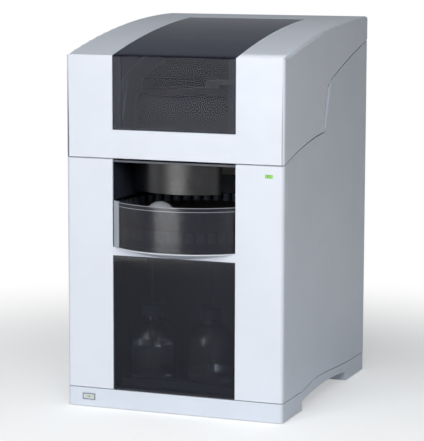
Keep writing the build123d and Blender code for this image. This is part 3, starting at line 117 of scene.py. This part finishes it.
def srgb(red, green, blue):
    """A colour as it is seen on a screen, from 0 to 255, as the linear colour that shaders use."""
    return tuple((channel / 255) ** 2.2 for channel in (red, green, blue)) + (1.0,)


print("white in linear light:", srgb(255, 255, 255))

# %% World
AMBIENT = 0.16
MIRRORED = 0.30
WHITE = (1.0, 1.0, 1.0, 1.0)
COOL_WHITE = (0.90, 0.95, 1.0, 1.0)
world = bpy.data.worlds.new("studio")
bpy.context.scene.world = world
world.use_nodes = True
sky = world.node_tree.nodes["Background"]
world.node_tree.links.new(seen_strength(world.node_tree, AMBIENT, MIRRORED, 1.0), sky.inputs["Strength"])
sky.inputs["Color"].default_value = COOL_WHITE
print("ambient:", AMBIENT)

# %% [markdown]
# The floor is matt near the instrument, where it catches soft shadows, and fades to plain white
# paper further out, so that no horizon shows. A photographer bends a paper sheet up behind the
# object instead. A flat floor that fades has no bend to hide.

# %% Floor
FLOOR_SIZE = 60.0
FLOOR_TONE = (0.78, 0.79, 0.80, 1.0)
FLOOR_GLOW = 0.38
FLOOR_MIRRORED = 0.1
PAPER_MIRRORED = 0.8
SHADOW_REACH = 0.35
WHITE_REACH = 1.1
bpy.ops.mesh.primitive_plane_add(size=FLOOR_SIZE, location=(0, 0, 0))
floor = bpy.context.object
floor.name = "floor"
floor_paint, tree, shader, link = shader_tree("floor_paint")
shader.inputs["Base Color"].default_value = FLOOR_TONE
shader.inputs["Roughness"].default_value = 0.9
shader.inputs["Specular IOR Level"].default_value = 0.1
shader.inputs["Emission Color"].default_value = WHITE
link(seen_strength(tree, 0.0, FLOOR_MIRRORED, FLOOR_GLOW), shader.inputs["Emission Strength"])
paper = tree.nodes.new("ShaderNodeEmission")
link(seen_strength(tree, 0.0, PAPER_MIRRORED, 1.0), paper.inputs["Strength"])
place = tree.nodes.new("ShaderNodeTexCoord")
reach = tree.nodes.new("ShaderNodeVectorMath")
reach.operation = "LENGTH"
link(place.outputs["Object"], reach.inputs[0])
fade = tree.nodes.new("ShaderNodeMapRange")
fade.interpolation_type = "SMOOTHSTEP"
fade.inputs["From Min"].default_value = SHADOW_REACH
fade.inputs["From Max"].default_value = WHITE_REACH
link(reach.outputs["Value"], fade.inputs["Value"])
blend = tree.nodes.new("ShaderNodeMixShader")
link(fade.outputs["Result"], blend.inputs[0])
link(shader.outputs["BSDF"], blend.inputs[1])
link(paper.outputs["Emission"], blend.inputs[2])
link(blend.outputs["Shader"], tree.nodes["Material Output"].inputs["Surface"])
floor.data.materials.append(floor_paint)
print("floor:", FLOOR_SIZE)

# %% [markdown]
# Six lamps. The key stands in front and a little to the left, the others to the sides and
# above. They are area lamps, as point lamps would throw hard shadows. The band lamp lights no
# matt surface, so it only shows as a gleam on glossy ones.

# %% Lamps
def softbox(name, place, target, width, height, power):
    """A rectangular lamp that faces a point."""
    lamp = bpy.data.objects.new(name, bpy.data.lights.new(name, "AREA"))
    bpy.context.scene.collection.objects.link(lamp)
    lamp.data.shape = "RECTANGLE"
    lamp.data.size = width
    lamp.data.size_y = height
    lamp.data.energy = power
    lamp.location = place
    lamp.rotation_euler = (Vector(target) - Vector(place)).to_track_quat("-Z", "Y").to_euler()
    return lamp


MIDDLE = (0.0, 0.0, 0.3)
FRONT_MIDDLE = (0.0, -0.2, 0.3)
LAMPS = (
    ("key", (-0.6, -3.0, 1.2), MIDDLE, 1.6, 1.6, 35),
    ("near", (0.62, -1.4, 0.95), MIDDLE, 0.6, 0.6, 7.5),
    ("side", (2.6, -1.6, 0.9), MIDDLE, 0.8, 1.6, 12),
    ("top", (-0.3, -1.3, 2.6), MIDDLE, 1.2, 1.2, 9),
    ("band", (-0.42, -1.45, 0.4), FRONT_MIDDLE, 0.8, 0.76, 8.0),
    ("left", (-2.6, -1.4, 0.8), MIDDLE, 1.0, 1.6, 5),
)
lamps = {row[0]: softbox(*row) for row in LAMPS}
lamps["band"].visible_diffuse = False
print("lamps:", sorted(lamps))

# %% [markdown]
# Moulded plastic is never one flat colour: it has a faint mottle, a slightly uneven gloss and a
# fine grain that breaks up the highlight. A picture of plastic could give all three, but noise
# on Object coordinates needs no image and has no seams. Its scale is about the number of spots
# in a metre.

# %% Noise, mottle and grain
NOISE_LOW, NOISE_HIGH = 0.3, 0.7
RAMP_LOW, RAMP_HIGH = 0.35, 0.65


def noise(tree, scale, detail=4.0):
    """Noise on the piece's own coordinates, in metres."""
    place = tree.nodes.new("ShaderNodeTexCoord")
    pattern = tree.nodes.new("ShaderNodeTexNoise")
    pattern.inputs["Scale"].default_value = scale
    pattern.inputs["Detail"].default_value = detail
    tree.links.new(place.outputs["Object"], pattern.inputs["Vector"])
    return pattern.outputs["Fac"]


def spread(tree, value, low, high):
    """Noise brought to a range."""
    node = tree.nodes.new("ShaderNodeMapRange")
    node.inputs["From Min"].default_value = NOISE_LOW
    node.inputs["From Max"].default_value = NOISE_HIGH
    node.inputs["To Min"].default_value = low
    node.inputs["To Max"].default_value = high
    tree.links.new(value, node.inputs["Value"])
    return node.outputs["Result"]


def mottle(tree, shader, colour, amount, scale):
    """Two near tones of one colour, mixed by soft noise."""
    ramp = tree.nodes.new("ShaderNodeValToRGB")
    dark, light = ramp.color_ramp.elements
    dark.position = RAMP_LOW
    light.position = RAMP_HIGH
    dark.color = tuple(c * (1 - amount) for c in colour[:3]) + (1.0,)
    light.color = tuple(min(1.0, c * (1 + amount)) for c in colour[:3]) + (1.0,)
    tree.links.new(noise(tree, scale), ramp.inputs["Fac"])
    tree.links.new(ramp.outputs["Color"], shader.inputs["Base Color"])


def relief(tree, shader, height, depth, strength):
    """A height turned into a bump on the surface."""
    bump = tree.nodes.new("ShaderNodeBump")
    bump.inputs["Strength"].default_value = strength
    bump.inputs["Distance"].default_value = depth
    tree.links.new(height, bump.inputs["Height"])
    tree.links.new(bump.outputs["Normal"], shader.inputs["Normal"])


print("noise range:", NOISE_LOW, NOISE_HIGH)

# %% [markdown]
# Four kinds of material cover the instrument. Each takes a colour and a roughness, and adds
# noise to both, so that no surface is perfectly even. Thin panes hardly bend what is behind them,
# so they are only part transparent. The bottles and the knob do bend it, so they are real glass.

# %% Kinds of material
GRAIN_SCALE = 1400.0
FINE_DETAIL = 6.0
BRUSH_STRETCH = (1.0, 1.0, 40.0)
BRUSH_SCALE = 60.0
GLASS_IOR = 1.47


def moulded(name, colour, roughness=0.42, amount=0.02, grain_depth=0.00006):
    """Moulded plastic or paint with a fine spark-eroded grain."""
    material, tree, shader, link = shader_tree(name)
    mottle(tree, shader, colour, amount, 9.0)
    link(spread(tree, noise(tree, 60.0), roughness - 0.05, roughness + 0.05), shader.inputs["Roughness"])
    relief(tree, shader, noise(tree, GRAIN_SCALE, FINE_DETAIL), grain_depth, 0.4)
    return material


def metal(name, colour, roughness):
    """Metal with fine lines along one direction."""
    material, tree, shader, link = shader_tree(name)
    shader.inputs["Metallic"].default_value = 1.0
    mottle(tree, shader, colour, 0.04, 14.0)
    place = tree.nodes.new("ShaderNodeTexCoord")
    stretch = tree.nodes.new("ShaderNodeMapping")
    stretch.inputs["Scale"].default_value = BRUSH_STRETCH
    lines = tree.nodes.new("ShaderNodeTexNoise")
    lines.inputs["Scale"].default_value = BRUSH_SCALE
    link(place.outputs["Object"], stretch.inputs["Vector"])
    link(stretch.outputs["Vector"], lines.inputs["Vector"])
    link(spread(tree, lines.outputs["Fac"], roughness - 0.08, roughness + 0.1), shader.inputs["Roughness"])
    relief(tree, shader, lines.outputs["Fac"], 0.00005, 0.15)
    return material


def see_through(name, colour, opacity, roughness, coat=0.0, gleam=0.5):
    """Clear or smoked sheet: part of the light goes straight through, and the surface is glossy."""
    material, tree, shader, link = shader_tree(name)
    mottle(tree, shader, colour, 0.08, 5.0)
    link(spread(tree, noise(tree, 25.0), roughness, roughness + 0.03), shader.inputs["Roughness"])
    shader.inputs["Alpha"].default_value = opacity
    shader.inputs["Specular IOR Level"].default_value = gleam
    shader.inputs["Coat Weight"].default_value = coat
    shader.inputs["Coat Roughness"].default_value = 0.03
    return material


def glass(name, colour, roughness, clear=1.0):
    """Clear glass or acrylic that bends what is behind it, with faint ripples from moulding."""
    material, tree, shader, link = shader_tree(name)
    mottle(tree, shader, colour, 0.03, 12.0)
    shader.inputs["Transmission Weight"].default_value = clear
    shader.inputs["IOR"].default_value = GLASS_IOR
    link(spread(tree, noise(tree, 40.0), roughness, roughness + 0.03), shader.inputs["Roughness"])
    relief(tree, shader, noise(tree, 90.0, FINE_DETAIL), 0.0001, 0.2)
    return material


print("grain scale:", GRAIN_SCALE, "brush scale:", BRUSH_SCALE)

# %% [markdown]
# Each slot of the model gets a finish, and its colour is written as it looks on a screen. Three
# smoked panes could share one finish, but they aren't equally dark, so each has its own.

# %% The finishes
finishes = {
    "casing_light": moulded("casing_light", srgb(224, 230, 240)),
    "casing_side": moulded("casing_side", srgb(216, 224, 235)),
    "rear_steel": moulded("rear_steel", srgb(214, 216, 222), 0.5),
    "rubber_feet": moulded("rubber_feet", srgb(40, 40, 42), 0.8),
    "smoked_pane": see_through("smoked_pane", srgb(30, 34, 58), 0.74, 0.08, gleam=0.25),
    "smoked_hood": see_through("smoked_hood", srgb(34, 38, 66), 0.74, 0.08, gleam=0.2),
    "smoked_door": see_through("smoked_door", srgb(22, 25, 38), 0.46, 0.05, gleam=0.5),
    "smoked_tray": see_through("smoked_tray", srgb(22, 25, 40), 0.66, 0.2, gleam=0.6),
    "inner_frame": moulded("inner_frame", srgb(92, 97, 112), 0.5),
    "clear_grip": see_through("clear_grip", srgb(188, 194, 204), 0.7, 0.12, 0.5),
    "dark_gloss": moulded("dark_gloss", srgb(14, 15, 19), 0.3, 0.1, 0.00001),
    "sheet_steel": metal("sheet_steel", srgb(104, 107, 114), 0.5),
    "bay_plastic": moulded("bay_plastic", srgb(52, 57, 68), 0.5),
    "tray_plastic": moulded("tray_plastic", srgb(84, 72, 68), 0.45),
    "vial_body": see_through("vial_body", srgb(222, 224, 222), 0.55, 0.2),
    "vial_cap": moulded("vial_cap", srgb(96, 104, 120), 0.55),
    "clear_knob": glass("clear_knob", srgb(240, 244, 250), 0.06, 0.7),
    "steel": metal("steel", srgb(196, 197, 200), 0.22),
    "drive_black": moulded("drive_black", srgb(34, 34, 37), 0.5, 0.08),
    "drive_metal": metal("drive_metal", srgb(196, 198, 202), 0.4),
    "insulator": moulded("insulator", srgb(232, 228, 216), 0.5),
    "housing_dark": moulded("housing_dark", srgb(44, 48, 62), 0.4),
    "cassette_plastic": moulded("cassette_plastic", srgb(150, 153, 160), 0.4),
    "bottle_clear": glass("bottle_clear", srgb(232, 238, 244), 0.02),
    "bottle_cap": moulded("bottle_cap", srgb(58, 66, 88), 0.45),
    "lamp_green": moulded("lamp_green", srgb(96, 164, 30), 0.2),
    "button_clear": moulded("button_clear", srgb(206, 211, 216), 0.25),
    "board": moulded("board", srgb(26, 84, 46), 0.45, 0.12),
    "fitting_metal": metal("fitting_metal", srgb(206, 207, 210), 0.2),
}
glow_green = finishes["lamp_green"].node_tree.nodes["Principled BSDF"]
glow_green.inputs["Emission Color"].default_value = srgb(120, 200, 40)
glow_green.inputs["Emission Strength"].default_value = 0.35
print("finishes:", len(finishes))

# %% [markdown]
# The hood's pane is one folded sheet. Over the roof it is nearly opaque, and at the front it
# lets the eye in. It could be cut in two at the fold, but a single sheet has one finish, so how
# far a point lies behind the front face sets its opacity and how dark its colour is.

# %% The hood pane
HOOD_FRONT_Y = -0.196
HOOD_ROOF_Y = -0.180
FRONT_OPACITY = 0.42
ROOF_OPACITY = 0.93
tree = finishes["smoked_hood"].node_tree
hood_shader = tree.nodes["Principled BSDF"]
place = tree.nodes.new("ShaderNodeTexCoord")
axes = tree.nodes.new("ShaderNodeSeparateXYZ")
depth = tree.nodes.new("ShaderNodeMapRange")
depth.inputs["From Min"].default_value = HOOD_FRONT_Y
depth.inputs["From Max"].default_value = HOOD_ROOF_Y
depth.inputs["To Min"].default_value = FRONT_OPACITY
depth.inputs["To Max"].default_value = ROOF_OPACITY
tree.links.new(place.outputs["Object"], axes.inputs["Vector"])
tree.links.new(axes.outputs["Y"], depth.inputs["Value"])
tree.links.new(depth.outputs["Result"], hood_shader.inputs["Alpha"])
darker = tree.nodes.new("ShaderNodeVectorMath")
darker.operation = "SCALE"
tree.links.new(hood_shader.inputs["Base Color"].links[0].from_socket, darker.inputs[0])
tree.links.new(depth.outputs["Result"], darker.inputs["Scale"])
tree.links.new(darker.outputs["Vector"], hood_shader.inputs["Base Color"])
print("opacity:", FRONT_OPACITY, ROOF_OPACITY)

# %% [markdown]
# A solid model's mesh is loose triangles with hard, knife-sharp edges. Real mouldings have a
# small radius on every edge that catches a thin line of light. Each node is copied, its
# triangles are joined, flat regions are dissolved, and smooth shading follows. A node that is
# given an edge width also gets a narrow bevel. The solid model could hold these small rounds
# too, at the price of many more faces.

# %% Dressing tools
JOIN_REACH = 0.002 * MM
FLAT_ANGLE = 0.4
SHARP_ANGLE = 32


def only(piece):
    """Selects one object and nothing else."""
    bpy.ops.object.select_all(action="DESELECT")
    piece.select_set(True)
    bpy.context.view_layer.objects.active = piece


def coat(piece, body, slot, finish=None):
    """Gives a finished piece its finish, which is its slot's unless another is named, and its body."""
    piece.data.materials.clear()
    piece.data.materials.append(finishes[finish or slot])
    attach(piece, body)
    return piece


def softened(piece, edge, smooth=35):
    """A bevel on sharp edges where a width is given, then shading that keeps large faces flat."""
    only(piece)
    if edge:
        bevel = piece.modifiers.new("edge", "BEVEL")
        bevel.width = edge
        bevel.segments = 2
        bevel.limit_method = "ANGLE"
        bevel.angle_limit = radians(SHARP_ANGLE)
        bevel.use_clamp_overlap = True
        bpy.ops.object.modifier_apply(modifier="edge")
    bpy.ops.object.shade_smooth_by_angle(angle=radians(smooth))
    flat = piece.modifiers.new("flat", "WEIGHTED_NORMAL")
    flat.keep_sharp = True
    flat.weight = 100
    bpy.ops.object.modifier_apply(modifier="flat")


def dressed(node, edge, finish):
    """A joined and smoothly shaded copy that stands for a CAD node, bevelled if it has an edge."""
    piece = bpy.data.objects.new(node + "_skin", frame["nodes"][node].data.copy())
    bpy.context.scene.collection.objects.link(piece)
    only(piece)
    bpy.ops.object.mode_set(mode="EDIT")
    bpy.ops.mesh.select_all(action="SELECT")
    bpy.ops.mesh.remove_doubles(threshold=JOIN_REACH)
    bpy.ops.mesh.dissolve_limited(angle_limit=radians(FLAT_ANGLE))
    bpy.ops.object.mode_set(mode="OBJECT")
    softened(piece, edge)
    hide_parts(node)
    return coat(piece, body_of[node], slot_of[node], finish)


print("bevels start at", SHARP_ANGLE, "degrees")

# %% [markdown]
# Four nodes wear another finish than their slot's. The upper deck's dark finish is painted shade:
# its front strip shows in the shut gap under the hood, where the hood shades it. Bevel widths are
# in millimetres, and a node without one keeps the edges of the solid model: the hood shell's
# rounds are made there. Five small nodes are rebuilt in the cells that follow.

# %% Dress the nodes
FINISH_AND_PAINTED_SHADE_OF = {
    "hood_window": "smoked_hood",
    "lower_door": "smoked_door",
    "tray_door_pane": "smoked_tray",
    # The upper deck's dark housing finish is painted shade for the gap under the hood's bottom edge.
    "upper_deck": "housing_dark",
}
EDGES = {
    "front_frame": 0.4, "left_side_panel": 0.4, "right_side_panel": 0.4,
    "base_plinth": 0.4, "hood_window": 0.25, "hood_window_frame": 0.3, "lower_door": 0.3,
    "thermostat_housing": 0.5, "rear_housing": 0.5, "tray_door_pane": 0.3, "lift_shield": 0.3,
    "rear_panel": 0.2, "bottle_bay": 0.4, "cassette": 0.5, "power_button": 0.2, "status_lamp": 0.2,
}
REBUILT = ("vial_caps", "tray_knob", "bottle_caps", "panel_screws", "foot_pads")
for node in sorted(set(frame["nodes"]) - set(REBUILT)):
    dressed(node, EDGES.get(node, 0.0) * MM, FINISH_AND_PAINTED_SHADE_OF.get(node))
print("dressed:", len(frame["nodes"]) - len(REBUILT))

# %% [markdown]
# Caps, knob, liquids, screws and pads are turned pieces. A profile could be spun for them, but a
# list of radius and height is easier to read: a circle is extruded ring by ring, as on a lathe.

# %% Turned pieces
def closed(piece):
    """Turns every face of an edited piece outwards and leaves edit mode."""
    bpy.ops.mesh.select_all(action="SELECT")
    bpy.ops.mesh.normals_make_consistent(inside=False)
    bpy.ops.object.mode_set(mode="OBJECT")
    return piece


def ring_stack(name, centre, rings, sides):
    """A turned piece on an upright axis, from rings of radius and height in millimetres."""
    rings = [(radius * MM, height * MM) for radius, height in rings]
    radius, height = rings[0]
    bpy.ops.object.select_all(action="DESELECT")
    middle = (centre[0] * MM, centre[1] * MM, height)
    bpy.ops.mesh.primitive_circle_add(vertices=sides, radius=radius, fill_type="NGON", location=middle)
    piece = bpy.context.object
    piece.name = name
    bpy.ops.object.mode_set(mode="EDIT")
    bpy.ops.mesh.select_all(action="SELECT")
    for new_radius, new_height in rings[1:]:
        bpy.ops.mesh.extrude_region_move(TRANSFORM_OT_translate={"value": (0, 0, new_height - height)})
        grow = new_radius / radius
        hub = (middle[0], middle[1], new_height)
        bpy.ops.transform.resize(value=(grow, grow, 1), center_override=hub)
        radius, height = new_radius, new_height
    closed(piece)
    bpy.ops.object.transform_apply(location=True, rotation=True, scale=True)
    return piece


def box_mm(node):
    """A node's low and high corners and its middle, in millimetres."""
    low, high = [[c / MM for c in corner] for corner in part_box(node)]
    return low, high, [(a + b) / 2 for a, b in zip(low, high)]


AXIS_Y = box_mm("vial_tray")[2][1]
print("tray axis:", round(AXIS_Y, 2))

# %% [markdown]
# What repeats is made once, then copied to each place and joined. An array modifier could do
# this too, but a list of places also serves screws and feet. Blocks have rounded edges.

# %% Copies and blocks
def copied(piece, name, moves):
    """The piece at each of several places, joined into one object."""
    bpy.ops.object.select_all(action="DESELECT")
    for move in moves:
        twin = piece.copy()
        twin.data = piece.data.copy()
        twin.data.transform(move)
        bpy.context.scene.collection.objects.link(twin)
        twin.select_set(True)
    bpy.context.view_layer.objects.active = twin
    bpy.ops.object.join()
    joined = bpy.context.object
    joined.name = name
    bpy.data.objects.remove(piece)
    return joined


def round_about(x, y, count):
    """Equal turns about an upright axis, whose place is in millimetres."""
    hub = Vector((x * MM, y * MM, 0.0))
    there, back = Matrix.Translation(hub), Matrix.Translation(-hub)
    return [there @ Matrix.Rotation(2 * pi * i / count, 4, "Z") @ back for i in range(count)]


def block(name, low, high, edge):
    """A block between two corners in millimetres, with rounded edges."""
    bpy.ops.object.select_all(action="DESELECT")
    bpy.ops.mesh.primitive_cube_add(size=1, location=[(a + b) / 2 * MM for a, b in zip(low, high)])
    piece = bpy.context.object
    piece.name = name
    piece.scale = [(b - a) * MM for a, b in zip(low, high)]
    bpy.ops.object.transform_apply(location=True, rotation=True, scale=True)
    bpy.ops.object.mode_set(mode="EDIT")
    bpy.ops.mesh.select_all(action="SELECT")
    bpy.ops.mesh.bevel(offset=edge * MM, segments=2)
    bpy.ops.object.mode_set(mode="OBJECT")
    return piece


VIALS = 48
vial_turns = round_about(0.0, AXIS_Y, VIALS)
print("vial places:", len(vial_turns))

# %% [markdown]
# The carousel's vials have snap caps with a collar at each end and a dimple for the needle. They
# could be 48 objects, but as one object they turn with the carousel together.

# %% Vial caps
VIAL_RING = 124.0
CAP_R = 6.1
COLLAR_R = 6.5
DIMPLE_R = 4.4
DIMPLE_FOOT_R = 3.9
CENTRE_R = 0.5
low, high, _ = box_mm("vial_caps")
foot, top = low[2], high[2]
cap_rings = (
    (CAP_R, foot), (COLLAR_R, foot + 0.6), (COLLAR_R, foot + 3.2), (CAP_R, foot + 3.6),
    (CAP_R, foot + 7.4), (COLLAR_R, foot + 7.9), (COLLAR_R, top - 0.5), (CAP_R, top),
    (DIMPLE_R, top), (DIMPLE_FOOT_R, top - 1.2), (CENTRE_R, top - 1.6),
)
cap = ring_stack("one_cap", (0.0, AXIS_Y - VIAL_RING), cap_rings, 18)
caps = copied(cap, "vial_caps_moulded", vial_turns)
softened(caps, 0.0, 50)
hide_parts("vial_caps")
coat(caps, "carousel", "vial_cap")
print("caps:", VIALS)

# %% [markdown]
# The tray's grip is a clear dome near its front. Half a sphere would do, but a short straight
# foot shows where it meets the tray, so it is turned from rings.

# %% Tray knob
DOME_RISES = 14
DOME_FOOT = 2.0
DOME_EDGE = 0.6
low, high, middle = box_mm("tray_knob")
knob_r = (high[0] - low[0]) / 2
dome_foot = low[2] + DOME_FOOT
dome = [(knob_r - DOME_EDGE, low[2]), (knob_r, low[2] + DOME_EDGE), (knob_r, dome_foot)]
for step in range(1, DOME_RISES):
    rise = pi / 2 * step / DOME_RISES
    dome.append(((knob_r - 2 * DOME_EDGE) * cos(rise), dome_foot + (high[2] - dome_foot) * sin(rise)))
knob = ring_stack("tray_knob_dome", middle, dome, 48)
softened(knob, 0.0, 60)
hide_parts("tray_knob")
coat(knob, "carousel", "clear_knob")
print("dome rings:", len(dome))

# %% [markdown]
# The tray door's edges catch the light. Two thin pale bars are painted highlights of that light:
# one runs along the door's top and a second lies a little below it. A dark strip closes its foot.
# Each is a straight bar that is cut into short lengths and then wrapped round the tray's axis.

# %% Tray door edges
DOOR_START, DOOR_END = -45.4, 49.4
DOOR_MIDDLE_R = 138.5
BAR_STEPS = 48
HIGHLIGHT_LINE_T = 3.2
HIGHLIGHT_LINE_H = 0.7
FOOT_T = 3.4
FOOT_H = 2.2


def bent_bar(name, radius, thick, low, high, start, end):
    """A curved bar round the tray's axis, in millimetres and degrees."""
    bpy.ops.object.select_all(action="DESELECT")
    bpy.ops.mesh.primitive_cube_add(size=1)
    piece = bpy.context.object
    piece.name = name
    bpy.ops.object.mode_set(mode="EDIT")
    bpy.ops.mesh.select_all(action="DESELECT")
    bpy.ops.object.mode_set(mode="OBJECT")
    for line in piece.data.edges:
        first, last = (piece.data.vertices[i].co for i in line.vertices)
        line.select = abs(first.x - last.x) > 0.5
    bpy.ops.object.mode_set(mode="EDIT")
    bpy.ops.mesh.select_mode(type="EDGE")
    bpy.ops.mesh.subdivide(number_cuts=BAR_STEPS - 1)
    bpy.ops.mesh.select_mode(type="VERT")
    bpy.ops.object.mode_set(mode="OBJECT")
    for vertex in piece.data.vertices:
        angle = radians(start + (end - start) * (vertex.co.x + 0.5))
        reach = (radius + thick * vertex.co.y) * MM
        rise = (low + (high - low) * (vertex.co.z + 0.5)) * MM
        vertex.co = (reach * sin(angle), AXIS_Y * MM - reach * cos(angle), rise)
    only(piece)
    bpy.ops.object.mode_set(mode="EDIT")
    return closed(piece)


low, high, _ = box_mm("tray_door_pane")
# The two pale lines are painted highlights along the door's edge.
for name, drop in (("tray_door_top_highlight", 0.5), ("tray_door_lower_highlight", 6.2)):
    foot = high[2] - drop
    line = bent_bar(name, DOOR_MIDDLE_R, HIGHLIGHT_LINE_T, foot, foot + HIGHLIGHT_LINE_H, DOOR_START, DOOR_END)
    softened(line, 0.0, 40)
    coat(line, "tray_door", "clear_grip")
strip = bent_bar("tray_door_foot", DOOR_MIDDLE_R, FOOT_T, low[2], low[2] + FOOT_H, DOOR_START, DOOR_END)
softened(strip, 0.2 * MM, 40)
coat(strip, "tray_door", "dark_gloss")
print("door lines:", 3)

# %% [markdown]
# The bottles have ribbed screw caps. A bump could fake the ribs, but they show in the outline, so
# they are real. The buffer stands just below its bottle's shoulder, and the waste fills about 40
# percent of its bottle's straight wall. Levels are heights above the bench.

# %% Bottle caps and liquids
RIBS = 30
RIB_W = 1.0
LEVELS = {"buffer_bottle": 96.0, "waste_bottle": 62.0}
CAP_WALL_R = 16.0
LIQUID_R = 32.8
caps_low, caps_high, _ = box_mm("bottle_caps")
foot, top = caps_low[2], caps_high[2]
cap_rings = (
    (16.2, foot), (16.7, foot + 0.6), (16.7, foot + 3.0), (CAP_WALL_R, foot + 3.5),
    (CAP_WALL_R, top - 3.0), (16.6, top - 2.4), (16.6, top - 0.8), (15.8, top),
    (12.0, top), (11.4, top - 0.6), (2.0, top - 0.6),
)
for bottle, level in LEVELS.items():
    low, high, (x, y, _) = box_mm(bottle)
    cap = ring_stack(bottle + "_cap", (x, y), cap_rings, 2 * RIBS)
    rib_low = (x - RIB_W / 2, y - CAP_WALL_R - 0.8, foot + 4.0)
    rib_high = (x + RIB_W / 2, y - CAP_WALL_R + 0.4, top - 3.2)
    ribs = copied(block(bottle + "_rib", rib_low, rib_high, 0.25), bottle + "_ribs", round_about(x, y, RIBS))
    for piece in (cap, ribs):
        softened(piece, 0.0, 40)
        coat(piece, body_of[bottle], "bottle_cap")
    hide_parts("bottle_caps")
    base = low[2] + 3.0
    fill_rings = ((31.0, base), (LIQUID_R, base + 2.0), (LIQUID_R, level - 1.0), (LIQUID_R + 0.2, level))
    fill = ring_stack(bottle + "_liquid", (x, y), fill_rings, 48)
    softened(fill, 0.0, 40)
    coat(fill, body_of[bottle], "bottle_clear")
print("bottles:", len(LEVELS))

# %% [markdown]
# The power button has a dark frame line and a green standby mark at its middle. Two dark bars
# divide the status lamp. Paint would do for all of them, but thin bars keep crisp edges.

# %% Button and lamp
FRAME_BAR = 0.8
FRAME_INSET = 2.0
FRAME_PROUD = 0.15
MARK_PROUD = 0.2
SUNK = 0.4
low, high, middle = box_mm("power_button")
left, right = low[0] + FRAME_INSET, high[0] - FRAME_INSET
lower, upper = low[2] + FRAME_INSET, high[2] - FRAME_INSET
button_lines = {
    "button_line_top": (left, upper - FRAME_BAR, right, upper),
    "button_line_foot": (left, lower, right, lower + FRAME_BAR),
    "button_line_left": (left, lower + FRAME_BAR, left + FRAME_BAR, upper - FRAME_BAR),
    "button_line_right": (right - FRAME_BAR, lower + FRAME_BAR, right, upper - FRAME_BAR),
}
for name, (x0, z0, x1, z1) in button_lines.items():
    bar = block(name, (x0, low[1] - FRAME_PROUD, z0), (x1, low[1] + SUNK, z1), 0.08)
    coat(bar, "power_button", "drive_black")
mark_low = (middle[0] - 2.6, low[1] - MARK_PROUD, middle[2] - 1.0)
mark_high = (middle[0] + 2.6, low[1] + SUNK, middle[2] + 1.0)
coat(block("button_mark", mark_low, mark_high, 0.12), "power_button", "lamp_green")

LAMP_BARS = 2
LAMP_INSET = 1.5
LAMP_BAR_W = 0.7
low, high, _ = box_mm("status_lamp")
lens_w = high[0] - low[0] - 2 * LAMP_INSET
for i in range(LAMP_BARS):
    x = low[0] + LAMP_INSET + lens_w * (i + 1) / (LAMP_BARS + 1)
    bar_low = (x - LAMP_BAR_W / 2, low[1] - 0.1, low[2] + LAMP_INSET)
    bar_high = (x + LAMP_BAR_W / 2, low[1] + 0.5, high[2] - LAMP_INSET)
    bar = block("lamp_bar_%d" % i, bar_low, bar_high, 0.08)
    coat(bar, body_of["status_lamp"], "drive_black")
print("button and lamp lines:", len(button_lines) + 1 + LAMP_BARS)

# %% [markdown]
# Cross-head screws hold the rear panel. One head is turned upright, then laid over so that its
# top faces backwards. The cross could be cut out, but at this size two dark bars look the same:
# they are painted shade where the recessed cross lies in shadow.

# %% Rear screws
SCREW_ROWS = 4
HEAD_R = 3.2
HEAD_RINGS = ((HEAD_R - 0.3, 0.0), (HEAD_R, 0.1), (HEAD_R, 0.9), (HEAD_R - 0.8, 1.6), (1.2, 1.8))
SLOT_LEN, SLOT_W = 1.7, 0.3
SLOT_FOOT, SLOT_TOP = 1.5, 1.85
low, high, _ = box_mm("panel_screws")
head = ring_stack("one_screw", (0.0, 0.0), HEAD_RINGS, 20)
# The two dark bars are painted shade for the recessed cross in each head.
slot_shade_bar = block("one_slot_shade", (-SLOT_LEN, -SLOT_W, SLOT_FOOT), (SLOT_LEN, SLOT_W, SLOT_TOP), 0.05)
cross_shade_bar = block("one_cross_shade", (-SLOT_W, -SLOT_LEN, SLOT_FOOT), (SLOT_W, SLOT_LEN, SLOT_TOP), 0.05)
laid_over = Matrix.Rotation(-pi / 2, 4, "X")
row_pitch = (high[2] - low[2] - 2 * HEAD_R) / (SCREW_ROWS - 1)
places = []
for x in (low[0] + HEAD_R, high[0] - HEAD_R):
    for row in range(SCREW_ROWS):
        spot = Vector((x, low[1], low[2] + HEAD_R + row * row_pitch)) * MM
        places.append(Matrix.Translation(spot) @ laid_over)
heads = copied(head, "panel_screw_heads", places)
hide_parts("panel_screws")
softened(heads, 0.0, 40)
coat(heads, "cabinet", "steel")
# The copied dark bars are painted shade in each screw's cross.
for name, bar in (("panel_screw_slot_shade", slot_shade_bar), ("panel_screw_cross_shade", cross_shade_bar)):
    coat(copied(bar, name, places), "cabinet", "drive_black")
print("screws:", len(places))

# %% [markdown]
# Four rubber pads keep the plinth off the bench. Plain discs would look sharp, so each is
# chamfered at its foot. The piece's name says ribbed, but the pads have no ribs.

# %% Foot pads
PAD_R = 12.0
PAD_H = 1.5
PAD_RINGS = ((PAD_R - 0.5, 0.0), (PAD_R, 0.3), (PAD_R, PAD_H), (PAD_R - 2.0, PAD_H))
low, high, _ = box_mm("foot_pads")
corners = [
    Matrix.Translation(Vector((x, y, 0.0)) * MM)
    for x in (low[0] + PAD_R, high[0] - PAD_R)
    for y in (low[1] + PAD_R, high[1] - PAD_R)
]
pads = copied(ring_stack("one_pad", (0.0, 0.0), PAD_RINGS, 36), "foot_pads_ribbed", corners)
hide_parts("foot_pads")
softened(pads, 0.0, 40)
coat(pads, "cabinet", "rubber_feet")
print("pads:", len(corners))
